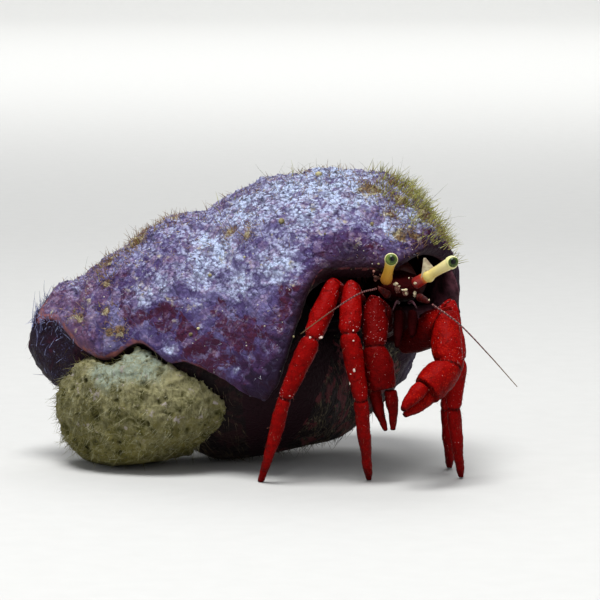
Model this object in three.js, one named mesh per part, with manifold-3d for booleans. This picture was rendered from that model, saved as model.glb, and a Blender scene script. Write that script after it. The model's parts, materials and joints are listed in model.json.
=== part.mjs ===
// A red reef hermit crab in an overgrown sea-snail shell, life size, as a still model.
// Millimetres, +Z up. The crab looks towards -Y and a little to +X, and the shell's tip points to -X.
// "right" and "left" in the names are the animal's own sides: its right legs are on the -X side.

import * as THREE from 'three';
import { mergeVertices } from 'three/addons/utils/BufferGeometryUtils.js';
import Module from 'manifold-3d';

const wasm = await Module();
wasm.setup();

// ---------------------------------------------------------------- driving dimensions

const GAP = 0.3; // clear space between neighbours
const MODEL_SHIFT = new THREE.Vector3(0.66, 1.12, 0); // puts the origin under the middle of the whole

// The shell is a cone of whorls coiled round an axis that starts at the cone's virtual tip.
const AXIS_TIP = new THREE.Vector3(-32, 4, 11.6);
const AXIS_MOUTH = new THREE.Vector3(3, 3, 13.55);
const WHORL_GROWTH = 1.45; // how much larger each turn is than the one before
const REACH_HOLD = 0.5; // how far the last turn keeps its length while its radius already shrinks
const REACH_HOLD_FROM = 0.28; // as a share of one turn
const REACH_HOLD_FULL = 0.5;
const SUTURE_AT = 27.4; // distances along the axis from the virtual tip, on the last turn
const SHOULDER_AT = 35.5;
const SHELL_END_AT = 52.3;
const SUTURE_RADIUS = 12.4;
const SHOULDER_RADIUS = 17.6;
const MOUTH_ROUNDNESS = 3; // exponent of the superellipse from the shoulder to the mouth end
const APEX_AT = 5.9;
const APEX_BLUNTNESS = 2.4; // length over which the tip rounds off

// The lip is the mouth's edge. From its foot the crust's lower rim runs on to the shell's tip.
// Their angles are measured in degrees round the axis, from the top towards -Y.
const LIP_ANGLE = 63;
const LIP_NOTCH = 21; // how much less far the lip reaches at the mouth's end
const LIP_NOTCH_AT = 45;
const LIP_FOOT_AT = 31.2;
const LIP_FOOT_LENGTH = 7.4;
const FOOT_DROP = 18; // how far the rim sinks towards the lip's foot
const FOOT_DROP_AT = 21;
const RIM_ANGLE = 91;
const RIM_WAVE = 6;
const RIM_WAVE_PEAK = 14.7;
const RIM_WAVE_LENGTH = 7.8;
const RIM_WAVE_END = 24;
const RIM_CORNER = 50; // how far the rim climbs where it ends at the shell's tip
const RIM_CORNER_AT = 7.5;
const RIM_CORNER_LENGTH = 5;

const FLOOR_CUT = 40; // depth of the block that cuts the resting flats

// The crust is a stony layer over the shell's upper half, thickest over the spire.
const CRUST_ON_BODY = 0.7;
const CRUST_ON_SPIRE = 1.2;
const CRUST_CONE_SLOPE = 0.6; // the crust fills the seams between turns up to this cone
const CRUST_SEAM_FILL = 0.8;
const CRUST_BACK_START = 0.36; // as a share of one turn from the lip
const CRUST_BACK_FULL = 0.52;

// Growths that stand out from the crust. Each mound lies at a distance along the axis and an angle
// round it, and its reach is the distance over which it falls off, along the axis and across it.
const CRUST_MOUNDS = [
  { at: 47, angle: -4, reach: 5.5, across: 9, height: 0.8 }, // low turf over the shell's broad end
  { at: 27.6, angle: 8, reach: 2.4, across: 2.8, height: 0.55 },
  { at: 19.5, angle: -6, reach: 3, across: 3, height: 0.4 },
  { at: 32, angle: 47, reach: 4.2, across: 3.6, height: 0.4 },
  { at: 38, angle: 2, reach: 2.2, across: 3, height: 0.35 },
  { at: 24, angle: -62, reach: 3.4, across: 3.4, height: 0.5 },
  { at: 38, angle: -80, reach: 4.6, across: 5, height: 0.6 },
  { at: 44, angle: -128, reach: 4, across: 4.4, height: 0.5 },
];

const SHELL_COLUMNS = 42;
const SPIRE_ROWS = 19; // evenly spaced from the tip to where the turns part at the lip
const MOUTH_ROWS = 14; // from there to the coil's open end
const SHELL_ROWS = SPIRE_ROWS + MOUTH_ROWS;
const SPIRE_END_AT = 33;
const WALL = 1.7;
const COLUMELLA_RADIUS = 2.4;
const HOLLOW_DEPTH = 0.62; // how far the hollow follows the coil, as a share of one turn
const HOLLOW_OUTSIDE = 0.05;

// The sponge is a rounded lump grown on the shell's underside.
const SPONGE_CENTRE = new THREE.Vector3(-11.6, 0.2, 6.5);
const SPONGE_HALF = new THREE.Vector3(11.2, 10.4, 6.1);
const SPONGE_TILT = 18; // degrees, its +X end up
const SPONGE_CROWN = 1.5; // how much taller its upper half is than its lower half
const SPONGE_RIM_GAP = 0.006; // how far below the crust's rim it stops, as a share of one turn

// Half widths of the animal's limbs and eyestalks at their normal places.
const CLAW_HALF_WIDTH = 1.58;
const RIGHT_CLAW_SHARE = 0.86; // the right claw is a little slimmer than the left one
const LEG_HALF_WIDTH = 1.04;
const BRACE_HALF_WIDTH = 0.45;
const EYESTALK_HALF = 0.64;
const CORNEA_SHARE = 0.8; // where the cornea starts, as a share of the way from base to tip

// ---------------------------------------------------------------- finishes

const finish = (color, roughness) => new THREE.MeshStandardMaterial({ color, roughness, metalness: 0 });
const CRUST_PURPLE = finish(0x6a5590, 0.85);
const SPONGE_CREAM = finish(0xb9b48c, 0.95);
const SCARLET = finish(0xc4100c, 0.45);
const DEEP_RED = finish(0x7c0b10, 0.5);
const ABDOMEN_ROSE = finish(0xa8483e, 0.6);
const EYE_YELLOW = finish(0xe8c05a, 0.35);
const EYE_GREEN = finish(0x3c6b2e, 0.12);
const FEELER_BROWN = finish(0x7a2f22, 0.5);
const JOINT_CREAM = finish(0xead9b0, 0.5);

// ---------------------------------------------------------------- small tools

const vec = (x, y, z) => new THREE.Vector3(x, y, z);
const clamp01 = (x) => Math.min(1, Math.max(0, x));
const smooth = (x) => clamp01(x) ** 2 * (3 - 2 * clamp01(x));
const radians = THREE.MathUtils.degToRad;

/** Six times the volume that a triangle list encloses; negative when its faces point inwards. */
function signedVolume(points, triangles) {
  let sum = 0;
  for (const [a, b, c] of triangles) {
    sum += points[a].dot(points[b].clone().cross(points[c]));
  }
  return sum;
}

/** A closed geometry from points and triangles, with its faces turned outwards. */
function closedGeometry(points, triangles) {
  const inward = signedVolume(points, triangles) < 0;
  const order = triangles.map(([a, b, c]) => (inward ? [a, c, b] : [a, b, c]));
  const geometry = new THREE.BufferGeometry();
  geometry.setFromPoints(points);
  geometry.setIndex(order.flat());
  return geometry;
}

/** Joins rings of equal length into a skin and closes both ends with a fan. */
function loft(rings) {
  const count = rings[0].length;
  const points = rings.flat();
  const triangles = [];
  for (let ring = 0; ring + 1 < rings.length; ring += 1) {
    for (let side = 0; side < count; side += 1) {
      const a = ring * count + side;
      const b = ring * count + ((side + 1) % count);
      triangles.push([a, b, a + count], [b, b + count, a + count]);
    }
  }
  for (const [first, turned] of [[0, true], [(rings.length - 1) * count, false]]) {
    const centre = points.length;
    const ring = points.slice(first, first + count);
    points.push(ring.reduce((sum, p) => sum.add(p), vec(0, 0, 0)).divideScalar(count));
    for (let side = 0; side < count; side += 1) {
      const a = first + side;
      const b = first + ((side + 1) % count);
      triangles.push(turned ? [b, a, centre] : [a, b, centre]);
    }
  }
  return closedGeometry(points, triangles);
}

function toSolid(geometry) {
  const bare = geometry.clone();
  bare.deleteAttribute('normal');
  bare.deleteAttribute('uv');
  const merged = mergeVertices(bare, 1e-4);
  return new wasm.Manifold(new wasm.Mesh({
    numProp: 3,
    vertProperties: new Float32Array(merged.getAttribute('position').array),
    triVerts: new Uint32Array(merged.getIndex().array),
  }));
}

function fromSolid(solid) {
  const mesh = solid.getMesh();
  const geometry = new THREE.BufferGeometry();
  geometry.setAttribute('position', new THREE.BufferAttribute(mesh.vertProperties, 3));
  geometry.setIndex(new THREE.BufferAttribute(mesh.triVerts, 1));
  return geometry;
}

const crab = new THREE.Group();
crab.position.copy(MODEL_SHIFT);

function addPiece(name, geometry, material) {
  const mesh = new THREE.Mesh(geometry, material);
  mesh.name = name;
  crab.add(mesh);
}

// ---------------------------------------------------------------- the shell's coil

const AXIS = AXIS_MOUTH.clone().sub(AXIS_TIP).normalize();
const AXIS_UP = vec(0, 0, 1).addScaledVector(AXIS, -AXIS.z).normalize();
const AXIS_FRONT = AXIS.clone().cross(AXIS_UP);

/** The last turn's outer radius at a distance along the axis; 0 past its end. */
function whorlRadius(along) {
  if (along < SUTURE_AT || along >= SHELL_END_AT) return 0;
  if (along < SHOULDER_AT) {
    const slope = (SHOULDER_AT - along) / (SHOULDER_AT - SUTURE_AT);
    return SUTURE_RADIUS + (SHOULDER_RADIUS - SUTURE_RADIUS) * Math.cos(slope * Math.PI / 2);
  }
  const reach = (along - SHOULDER_AT) / (SHELL_END_AT - SHOULDER_AT);
  return SHOULDER_RADIUS * (1 - reach ** MOUTH_ROUNDNESS) ** (1 / MOUTH_ROUNDNESS);
}

/** The size of the coil at a share of the last turn: 1 at the lip, less before it. */
const coilScale = (turn) => WHORL_GROWTH ** (turn - 1);

/** The coil's size along its axis, which shrinks more slowly than its radius on the last turn. */
function coilReach(turn) {
  const held = REACH_HOLD * smooth((turn - REACH_HOLD_FROM) / (REACH_HOLD_FULL - REACH_HOLD_FROM));
  return coilScale(turn) ** (1 - held);
}

/** The angle of the mouth's lip, or of the crust's lower rim on the spire. */
function lipAngle(along) {
  const lip = LIP_ANGLE - LIP_NOTCH * smooth((along - LIP_NOTCH_AT) / (SHELL_END_AT - LIP_NOTCH_AT));
  const wave = RIM_WAVE * Math.cos(((along - RIM_WAVE_PEAK) / RIM_WAVE_LENGTH) * 2 * Math.PI);
  const waves = wave * smooth((RIM_WAVE_END - along) / (RIM_WAVE_LENGTH / 3));
  const drop = smooth((along - FOOT_DROP_AT) / (LIP_FOOT_AT - FOOT_DROP_AT));
  const corner = RIM_CORNER * (1 - smooth((along - RIM_CORNER_AT) / RIM_CORNER_LENGTH));
  const rim = RIM_ANGLE + waves + FOOT_DROP * drop - corner;
  return THREE.MathUtils.lerp(rim, lip, smooth((along - LIP_FOOT_AT) / LIP_FOOT_LENGTH));
}

/** The bare shell's outer radius: the outermost of the turns that cover this place. */
function bareRadius(along, turn) {
  let radius = 0;
  for (let whorl = 0; whorl < 6; whorl += 1) {
    radius = Math.max(radius, coilScale(turn - whorl) * whorlRadius(along / coilReach(turn - whorl)));
  }
  return radius;
}

/** How far the mounds stand out from the crust at a place. */
function moundHeight(along, turn) {
  const angle = lipAngle(along) + 360 * turn;
  const radius = bareRadius(along, turn);
  let height = 0;
  for (const mound of CRUST_MOUNDS) {
    const turned = ((angle - mound.angle + 540) % 360) - 180;
    const off = Math.hypot((along - mound.at) / mound.reach, (radians(turned) * radius) / mound.across);
    height += mound.height * Math.exp(-off * off);
  }
  return height;
}

/** The crust's thickness, from nothing on the underside to its full depth at the lip. */
function crustDepth(along, turn) {
  const onBody = smooth((along - 18) / 14);
  const even = THREE.MathUtils.lerp(CRUST_ON_SPIRE, CRUST_ON_BODY, onBody);
  const seam = Math.max(0, CRUST_CONE_SLOPE * along - even - bareRadius(along, turn)) * (1 - onBody);
  const cover = smooth((turn - CRUST_BACK_START) / (CRUST_BACK_FULL - CRUST_BACK_START));
  return cover * (even + CRUST_SEAM_FILL * seam + moundHeight(along, turn));
}

/** A place on or in the shell, from its distance along the axis, its radius and its turn. */
function coilPoint(along, radius, turn) {
  const angle = radians(lipAngle(along) + 360 * turn);
  return AXIS_TIP.clone()
    .addScaledVector(AXIS, along)
    .addScaledVector(AXIS_UP, radius * Math.cos(angle))
    .addScaledVector(AXIS_FRONT, radius * Math.sin(angle));
}

/** How far along the axis a row of the shell's mesh lies on a turn that ends at a given place. */
function rowPlace(row, end, tip) {
  if (row <= SPIRE_ROWS) {
    return tip + (SPIRE_END_AT - tip) * (row / SPIRE_ROWS);
  }
  const share = (row - SPIRE_ROWS) / MOUTH_ROWS;
  return SPIRE_END_AT + (end - SPIRE_END_AT) * Math.sin(share * Math.PI / 2);
}

/** The shell's outside as one closed body, grown by an even margin. */
function shellEnvelope(grow) {
  const points = [coilPoint(APEX_AT - grow, 0, 0)];
  const at = (column, row) => 1 + column * SHELL_ROWS + row - 1;
  for (let column = 0; column <= SHELL_COLUMNS; column += 1) {
    const turn = column / SHELL_COLUMNS;
    const end = SHELL_END_AT * coilReach(turn);
    const isLip = column === SHELL_COLUMNS;
    for (let row = 1; row <= SHELL_ROWS; row += 1) {
      const along = rowPlace(row, end, APEX_AT - grow);
      const blunt = Math.min(1, (along - APEX_AT + grow) / APEX_BLUNTNESS) ** 0.5;
      const radius = (bareRadius(along, turn) + crustDepth(along, turn) + grow) * blunt;
      const onward = isLip ? grow / (3.5 * Math.max(1.5, radius)) : 0;
      points.push(coilPoint(along, row === SHELL_ROWS ? 0 : radius, turn + onward));
    }
  }
  const triangles = [];
  for (let column = 0; column < SHELL_COLUMNS; column += 1) {
    triangles.push([0, at(column, 1), at(column + 1, 1)]);
    for (let row = 1; row < SHELL_ROWS; row += 1) {
      const [a, b] = [at(column, row), at(column + 1, row)];
      triangles.push([a, a + 1, b + 1], [a, b + 1, b]);
    }
  }
  // The step from the lip down to the turn before it.
  triangles.push([0, at(SHELL_COLUMNS, 1), at(0, 1)]);
  for (let row = 1; row < SHELL_ROWS - 1; row += 1) {
    const [inner, outer] = [at(0, row), at(SHELL_COLUMNS, row)];
    triangles.push([inner, outer, inner + 1], [outer, outer + 1, inner + 1]);
  }
  const [inner, outer] = [at(0, SHELL_ROWS - 1), at(SHELL_COLUMNS, SHELL_ROWS - 1)];
  triangles.push([inner, outer, inner + 1]);
  for (let column = 0; column < SHELL_COLUMNS; column += 1) {
    triangles.push([at(column, SHELL_ROWS), outer, at(column + 1, SHELL_ROWS)]);
  }
  return closedGeometry(points, triangles);
}

/** The hollow that the animal lives in: the room between the last turn and the one inside it. */
function shellHollow() {
  const rings = [];
  const steps = 16;
  const sides = 9;
  const first = SUTURE_AT + 4;
  const last = SHELL_END_AT - 1.6;
  for (let step = 0; step <= steps; step += 1) {
    const turn = 1 + HOLLOW_OUTSIDE - (HOLLOW_DEPTH + HOLLOW_OUTSIDE) * (step / steps);
    const scale = coilScale(turn);
    const reach = coilReach(turn);
    const ring = [];
    for (let side = 0; side <= sides; side += 1) {
      const along = first + (last - first) * (side / sides);
      const outer = whorlRadius(along) - WALL * (0.75 + 0.25 * (side / sides));
      ring.push(coilPoint(along * reach, outer * scale, turn));
    }
    for (let side = sides; side >= 0; side -= 1) {
      const along = first + (last - first) * (side / sides);
      const before = whorlRadius(along * WHORL_GROWTH) / WHORL_GROWTH + 0.5;
      const inner = Math.min(Math.max(COLUMELLA_RADIUS, before), whorlRadius(along) - WALL - 0.5);
      ring.push(coilPoint(along * reach, inner * scale, turn));
    }
    rings.push(ring);
  }
  return loft(rings);
}

/** Everything below the floor, to be cut away so that what rests has a flat. */
function belowFloor() {
  const box = new THREE.BoxGeometry(4 * FLOOR_CUT, 4 * FLOOR_CUT, FLOOR_CUT);
  box.translate(0, 0, -FLOOR_CUT / 2);
  return toSolid(box);
}

/** The space that lies below the crust's lower rim, as a wedge round the coil's axis. */
function belowRim() {
  const rings = [];
  for (let along = 1; along <= 41; along += 1) {
    const ring = [coilPoint(along, 0.01, 0.25)];
    for (let turn = SPONGE_RIM_GAP; turn < 0.5; turn += 0.04) {
      ring.push(coilPoint(along, 2 * SHELL_END_AT, turn));
    }
    rings.push(ring);
  }
  return toSolid(loft(rings));
}

function sponge() {
  const ball = new THREE.SphereGeometry(1, 22, 14);
  const place = ball.getAttribute('position');
  for (let i = 0; i < place.count; i += 1) {
    const p = vec(place.getX(i), place.getY(i), place.getZ(i));
    const lumps = 1 + 0.05 * Math.sin(4 * p.x + 1) * Math.cos(5 * p.z) + 0.04 * Math.sin(6 * p.y);
    p.z *= p.z > 0 ? SPONGE_CROWN : 1;
    p.multiplyScalar(lumps).multiply(SPONGE_HALF).applyAxisAngle(vec(0, 1, 0), -radians(SPONGE_TILT));
    p.add(SPONGE_CENTRE);
    place.setXYZ(i, p.x, p.y, p.z);
  }
  const lump = toSolid(ball).intersect(belowRim());
  return lump.subtract(toSolid(shellEnvelope(1.45 * GAP))).subtract(belowFloor());
}

const shell = toSolid(shellEnvelope(0)).subtract(toSolid(shellHollow())).subtract(belowFloor());
addPiece('shell', fromSolid(shell), CRUST_PURPLE);
addPiece('shell_sponge', fromSolid(sponge()), SPONGE_CREAM);

// ---------------------------------------------------------------- the animal's limbs

/** A ring of points round a place, slid along the limb until it lies in a plane. */
function limbRing(centre, direction, facing, acrossHint, halfWidth, halfHeight, sides) {
  const across = direction.clone().cross(acrossHint).normalize();
  const upward = across.clone().cross(direction);
  const ring = [];
  for (let side = 0; side < sides; side += 1) {
    const angle = ((side + 0.5) / sides) * 2 * Math.PI;
    const offset = across.clone().multiplyScalar(halfWidth * Math.cos(angle));
    offset.addScaledVector(upward, halfHeight * Math.sin(angle));
    offset.addScaledVector(direction, -offset.dot(facing) / direction.dot(facing));
    ring.push(centre.clone().add(offset));
  }
  return ring;
}

/**
 * One length of a limb or of the body. thickness lists its half widths at even steps, bow bends it
 * sideways, and each end is cut in a plane of its own so that the next length meets it squarely.
 */
function limb({
  from, to, thickness, flatness = 1, bow = vec(0, 0, 0), hint = vec(0, 0, 1), sides = 8,
  startFacing = null, endFacing = null, startGap = GAP / 2, endGap = GAP / 2,
}) {
  const direction = to.clone().sub(from).normalize();
  const startPlane = startFacing ?? direction;
  const endPlane = endFacing ?? direction;
  const start = from.clone().addScaledVector(direction, startGap / direction.dot(startPlane));
  const end = to.clone().addScaledVector(direction, -endGap / direction.dot(endPlane));
  const last = thickness.length - 1;
  return loft(thickness.map((half, step) => {
    const share = step / last;
    const centre = start.clone().lerp(end, share).addScaledVector(bow, 4 * share * (1 - share));
    const facing = direction.clone();
    facing.lerp(startPlane, clamp01(1 - 2 * share) ** 2).lerp(endPlane, clamp01(2 * share - 1) ** 2);
    return limbRing(centre, direction, facing.normalize(), hint, half, half * flatness, sides);
  }));
}

/** The plane in which two lengths meet at a joint. */
function meeting(before, joint, after) {
  const arriving = joint.clone().sub(before).normalize();
  return arriving.add(after.clone().sub(joint).normalize()).normalize();
}

const FLOOR_FACING = vec(0, 0, -1);
const LEG_PARTS = ['merus', 'carpus', 'propodus', 'dactyl'];

// Half widths along each length of a walking leg, as shares of the leg's own half width.
const LEG_THICKNESS = {
  merus: [0.7, 0.84, 0.88, 0.86, 0.82],
  carpus: [0.82, 1.02, 1.14, 1.1, 0.9],
  propodus: [0.88, 1.04, 1, 0.92, 0.84, 0.72],
  dactyl: [0.68, 0.72, 0.66, 0.56, 0.44, 0.34],
};
const LEG_FLATNESS = { merus: 1.05, carpus: 1, propodus: 1.05, dactyl: 1.1 };

/** A walking leg of four lengths from its hip to the small flat that it stands on. */
function addLeg(name, joints, halfWidth, claspBow) {
  LEG_PARTS.forEach((part, index) => {
    const [from, to] = [joints[index], joints[index + 1]];
    const onFloor = index === LEG_PARTS.length - 1;
    addPiece(`${name}_${part}`, limb({
      from,
      to,
      thickness: LEG_THICKNESS[part].map((share) => share * halfWidth),
      flatness: LEG_FLATNESS[part],
      hint: vec(0, 1, 0.3),
      bow: part === 'dactyl' ? claspBow : vec(0, 0, 0),
      startFacing: index === 0 ? null : meeting(joints[index - 1], from, to),
      endFacing: onFloor ? FLOOR_FACING : meeting(from, to, joints[index + 2]),
      endGap: onFloor ? 0 : GAP / 2,
    }), SCARLET);
  });
}

// Half widths of the claw's lengths as shares of the claw's own half width.
const CLAW_THICKNESS = {
  merus: [0.66, 0.88, 1.02, 1.04, 0.88],
  carpus: [0.84, 1.02, 1.1, 1.04, 0.88],
  palm: [0.8, 1.02, 1.1, 1.08, 1],
  finger: [0.54, 0.56, 0.48, 0.35, 0.18],
};
const PALM_SHARE = 0.5; // of the length from wrist to finger tips
const FINGER_SPREAD = 0.6;
const TIP_SPREAD = 0.27;

/** A claw arm: upper length, wrist length, palm with the fixed finger, and the moving finger. */
function addClaw(name, joints, halfWidth, fingerSide, material) {
  const [hip, elbow, wrist, tip] = joints;
  const reach = tip.clone().sub(wrist);
  const knuckle = wrist.clone().addScaledVector(reach, PALM_SHARE);
  const direction = reach.clone().normalize();
  const side = fingerSide.clone().addScaledVector(direction, -fingerSide.dot(direction)).normalize();
  const shares = (part) => CLAW_THICKNESS[part].map((share) => share * halfWidth);
  const elbowPlane = meeting(hip, elbow, wrist);
  const wristPlane = meeting(elbow, wrist, tip);

  addPiece(`${name}_merus`, limb({
    from: hip, to: elbow, thickness: shares('merus'), flatness: 1.05, endFacing: elbowPlane,
  }), material);
  addPiece(`${name}_carpus`, limb({
    from: elbow, to: wrist, thickness: shares('carpus'), flatness: 0.95, hint: side,
    startFacing: elbowPlane, endFacing: wristPlane,
  }), material);

  const palm = limb({
    from: wrist, to: knuckle, thickness: shares('palm'), flatness: 1.12, hint: side,
    startFacing: wristPlane, endGap: 0, sides: 10,
  });
  const finger = (sign, root) => limb({
    from: root.clone().addScaledVector(side, sign * FINGER_SPREAD * halfWidth),
    to: tip.clone().addScaledVector(side, sign * TIP_SPREAD * halfWidth),
    thickness: shares('finger'), flatness: 0.92, hint: side,
    bow: side.clone().multiplyScalar(sign * 0.12 * halfWidth), startGap: 0, endGap: 0,
  });
  const fixedRoot = knuckle.clone().addScaledVector(direction, -0.4 * halfWidth);
  const movingRoot = knuckle.clone().addScaledVector(direction, GAP);
  addPiece(`${name}_palm`, fromSolid(toSolid(palm).add(toSolid(finger(-1, fixedRoot)))), material);
  addPiece(`${name}_finger`, finger(1, movingRoot), material);
}

/** A feeler or short tube through a few places, at least as thick as a feeler has to be. */
function feeler(places, startHalf, endHalf, steps, sides = 6) {
  const path = new THREE.CatmullRomCurve3(places);
  const rings = [];
  for (let step = 0; step <= steps; step += 1) {
    const share = step / steps;
    const tangent = path.getTangent(share);
    const half = THREE.MathUtils.lerp(startHalf, endHalf, share);
    rings.push(limbRing(path.getPoint(share), tangent, tangent, vec(0, 0, 1), half, half, sides));
  }
  return loft(rings);
}

// ---------------------------------------------------------------- the animal's body

const SHIELD_FRONT = vec(13.4, -12.9, 19.5);
const SHIELD_BACK = vec(12.6, -6.2, 19.6);
const THORAX_BACK = vec(11.5, -1.6, 20.9);

addPiece('carapace_shield', limb({
  from: SHIELD_FRONT, to: SHIELD_BACK, thickness: [1.5, 2.3, 2.75, 3.05, 3.2, 3.1], flatness: 0.5,
  endFacing: meeting(SHIELD_FRONT, SHIELD_BACK, THORAX_BACK), sides: 12,
}), DEEP_RED);
addPiece('carapace_rear', limb({
  from: SHIELD_BACK, to: THORAX_BACK, thickness: [2.9, 3, 2.95, 2.6], flatness: 0.72, sides: 10,
  startFacing: meeting(SHIELD_FRONT, SHIELD_BACK, THORAX_BACK),
}), ABDOMEN_ROSE);

addPiece('thorax', limb({
  from: vec(12.75, -8.3, 14.9), to: vec(12, -1.9, 16), thickness: [1.2, 1.75, 1.95, 1.8, 1.4], flatness: 1.05,
  sides: 10,
}), DEEP_RED);

// The soft abdomen follows the hollow of the coil and ends in a small tail.
const ABDOMEN = [THORAX_BACK, vec(10.3, 3.2, 22.6), vec(8.9, 8.2, 20.8), vec(7.6, 11, 16.4),
  vec(6.8, 11.2, 12)];
const ABDOMEN_NAMES = ['abdomen_front', 'abdomen_middle', 'abdomen_rear', 'tail_fan'];
const ABDOMEN_THICKNESS = [
  [2.5, 2.8, 2.7, 2.5],
  [2.4, 2.5, 2.3, 2.1],
  [2, 2, 1.8, 1.6],
  [1.4, 1.5, 1.1, 0.6],
];

ABDOMEN_NAMES.forEach((name, index) => {
  const [from, to] = [ABDOMEN[index], ABDOMEN[index + 1]];
  const before = index === 0 ? SHIELD_BACK : ABDOMEN[index - 1];
  addPiece(name, limb({
    from,
    to,
    thickness: ABDOMEN_THICKNESS[index],
    hint: vec(1, 0, 0),
    startFacing: meeting(before, from, to),
    endFacing: index + 2 < ABDOMEN.length ? meeting(from, to, ABDOMEN[index + 2]) : null,
  }), ABDOMEN_ROSE);
});

// ---------------------------------------------------------------- eyes, feelers and mouthparts

const SIDES = ['right', 'left'];
const EYE_BASE = { right: vec(12.1, -13.2, 20.3), left: vec(14.5, -13.2, 20.3) };
const EYE_TIP = { right: vec(12.2, -16.5, 23.5), left: vec(18.8, -15.7, 23.1) };

for (const side of SIDES) {
  const neck = EYE_BASE[side].clone().lerp(EYE_TIP[side], CORNEA_SHARE);
  addPiece(`eyestalk_${side}`, limb({
    from: EYE_BASE[side],
    to: neck,
    thickness: [0.98, 0.88, 0.86, 0.94, 1.02].map((share) => share * EYESTALK_HALF),
    endGap: 0.05,
  }), EYE_YELLOW);
  addPiece(`cornea_${side}`, limb({
    from: neck,
    to: EYE_TIP[side],
    thickness: [1.04, 1.1, 1.02, 0.8, 0.38].map((share) => share * EYESTALK_HALF),
    startGap: 0.05,
    endGap: 0,
  }), EYE_GREEN);
}

// Between the eyes: two small scales and the inner feelers, then the outer feelers on their bases.
addPiece('eye_scale_right', feeler([vec(12.9, -13.3, 19.3), vec(12.85, -14.3, 19.9)], 0.34, 0.25, 2),
  JOINT_CREAM);
addPiece('eye_scale_left', feeler([vec(13.8, -13.3, 19.3), vec(13.95, -14.3, 19.9)], 0.34, 0.25, 2),
  JOINT_CREAM);
addPiece('antennule_right', feeler(
  [vec(12.95, -13.2, 18.4), vec(12.7, -15, 18.7), vec(12.3, -16.3, 18)], 0.34, 0.25, 4), JOINT_CREAM);
addPiece('antennule_left', feeler(
  [vec(14, -13.2, 18.4), vec(14.3, -15, 18.7), vec(14.7, -16.4, 18.2)], 0.34, 0.25, 4), JOINT_CREAM);

const ANTENNA_BASE = { right: vec(11.9, -13.3, 19.2), left: vec(15, -13.3, 19) };
const ANTENNA_ELBOW = { right: vec(10.9, -15, 20.1), left: vec(15.9, -15.9, 18.8) };
const ANTENNA_REST = {
  right: [vec(8.7, -17.6, 19.7), vec(5.6, -18.8, 17.8), vec(3, -19.2, 15.9)],
  left: [vec(18.9, -18.4, 16.8), vec(21.8, -20, 13.9), vec(24.6, -21, 10.8)],
};

for (const side of SIDES) {
  const [base, elbow] = [ANTENNA_BASE[side], ANTENNA_ELBOW[side]];
  const flagellum = [elbow.clone().lerp(ANTENNA_REST[side][0], 0.12), ...ANTENNA_REST[side]];
  addPiece(`antenna_base_${side}`, feeler([base, elbow], 0.52, 0.36, 3), DEEP_RED);
  addPiece(`antenna_${side}`, feeler(flagellum, 0.28, 0.25, 9, 5), FEELER_BROWN);
}

addPiece('mouthpart_right', limb({
  from: vec(13, -12.4, 17.6), to: vec(12.8, -14.4, 13.8), thickness: [0.5, 0.62, 0.5, 0.3],
}), DEEP_RED);
addPiece('mouthpart_left', limb({
  from: vec(14.4, -12.3, 17.6), to: vec(14.3, -14.2, 14.9), thickness: [0.5, 0.62, 0.5, 0.3],
}), DEEP_RED);

// ---------------------------------------------------------------- claws and legs

addClaw('claw_right', [vec(12.1, -9.4, 15.2), vec(10.6, -13.2, 17.7), vec(10.5, -15, 14.1),
  vec(12, -15, 5.6)], CLAW_HALF_WIDTH * RIGHT_CLAW_SHARE, vec(1, -0.3, 0), DEEP_RED);
addClaw('claw_left', [vec(13.4, -9.8, 13.6), vec(17.6, -13.6, 16.4), vec(18, -16.4, 12.2),
  vec(13.3, -19.7, 8)], CLAW_HALF_WIDTH, vec(0, -0.6, 1), SCARLET);

const LEGS = {
  leg_right_rear: [vec(9.5, -6, 16.6), vec(6.3, -13.28, 20.06), vec(4.15, -16, 15.1),
    vec(1.4, -15.8, 9), vec(-1.1, -13.1, 0)],
  leg_right_front: [vec(10.2, -8, 15.4), vec(8.16, -13.5, 19.86), vec(7.9, -16.6, 15.6),
    vec(9.1, -16.3, 8.9), vec(10, -11.8, 0)],
  leg_left_front: [vec(15.8, -8.4, 15.2), vec(18.2, -9.7, 17.4), vec(19, -12, 12.4),
    vec(18.6, -12.5, 7.5), vec(19.5, -10.4, 0)],
  leg_left_rear: [vec(15.4, -6, 15.6), vec(18, -5.7, 16.5), vec(19, -6.6, 11.6),
    vec(18.2, -6, 6.6), vec(18.6, -3.6, 0)],
};

for (const [name, joints] of Object.entries(LEGS)) {
  addLeg(name, joints, LEG_HALF_WIDTH, vec(0, -0.5, -0.3));
}

// The last two pairs of legs are short and brace the animal inside its shell.
addPiece('leg_fourth_right', feeler([vec(8.8, -4.2, 19.4), vec(7.6, -3.4, 21.2), vec(8, -2, 22.4)],
  BRACE_HALF_WIDTH, 0.3, 4), DEEP_RED);
addPiece('leg_fourth_left', feeler([vec(15.6, -4.2, 19), vec(16, -3.4, 20.4), vec(15.4, -2.4, 21.6)],
  BRACE_HALF_WIDTH, 0.3, 4), DEEP_RED);
addPiece('leg_fifth_right', feeler([vec(8.3, -0.6, 20.4), vec(7.3, 0.4, 21.8), vec(7.6, 1.8, 22.4)],
  BRACE_HALF_WIDTH * 0.8, 0.26, 4), DEEP_RED);
addPiece('leg_fifth_left', feeler([vec(14.4, -0.6, 20), vec(14.6, 0.6, 20.8), vec(13.9, 1.8, 21.6)],
  BRACE_HALF_WIDTH * 0.8, 0.26, 4), DEEP_RED);

export default crab;
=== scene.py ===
"""A red reef hermit crab in its overgrown snail shell: the finished looks of the still model.

Lengths are millimetres until a piece is finished, and metres from then on. Places are in the model's
own frame: the crab looks towards -Y and the shell's tip points to -X.
"""

import json
import logging
import math
from collections.abc import Sequence
from dataclasses import dataclass, field
from enum import Enum

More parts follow.
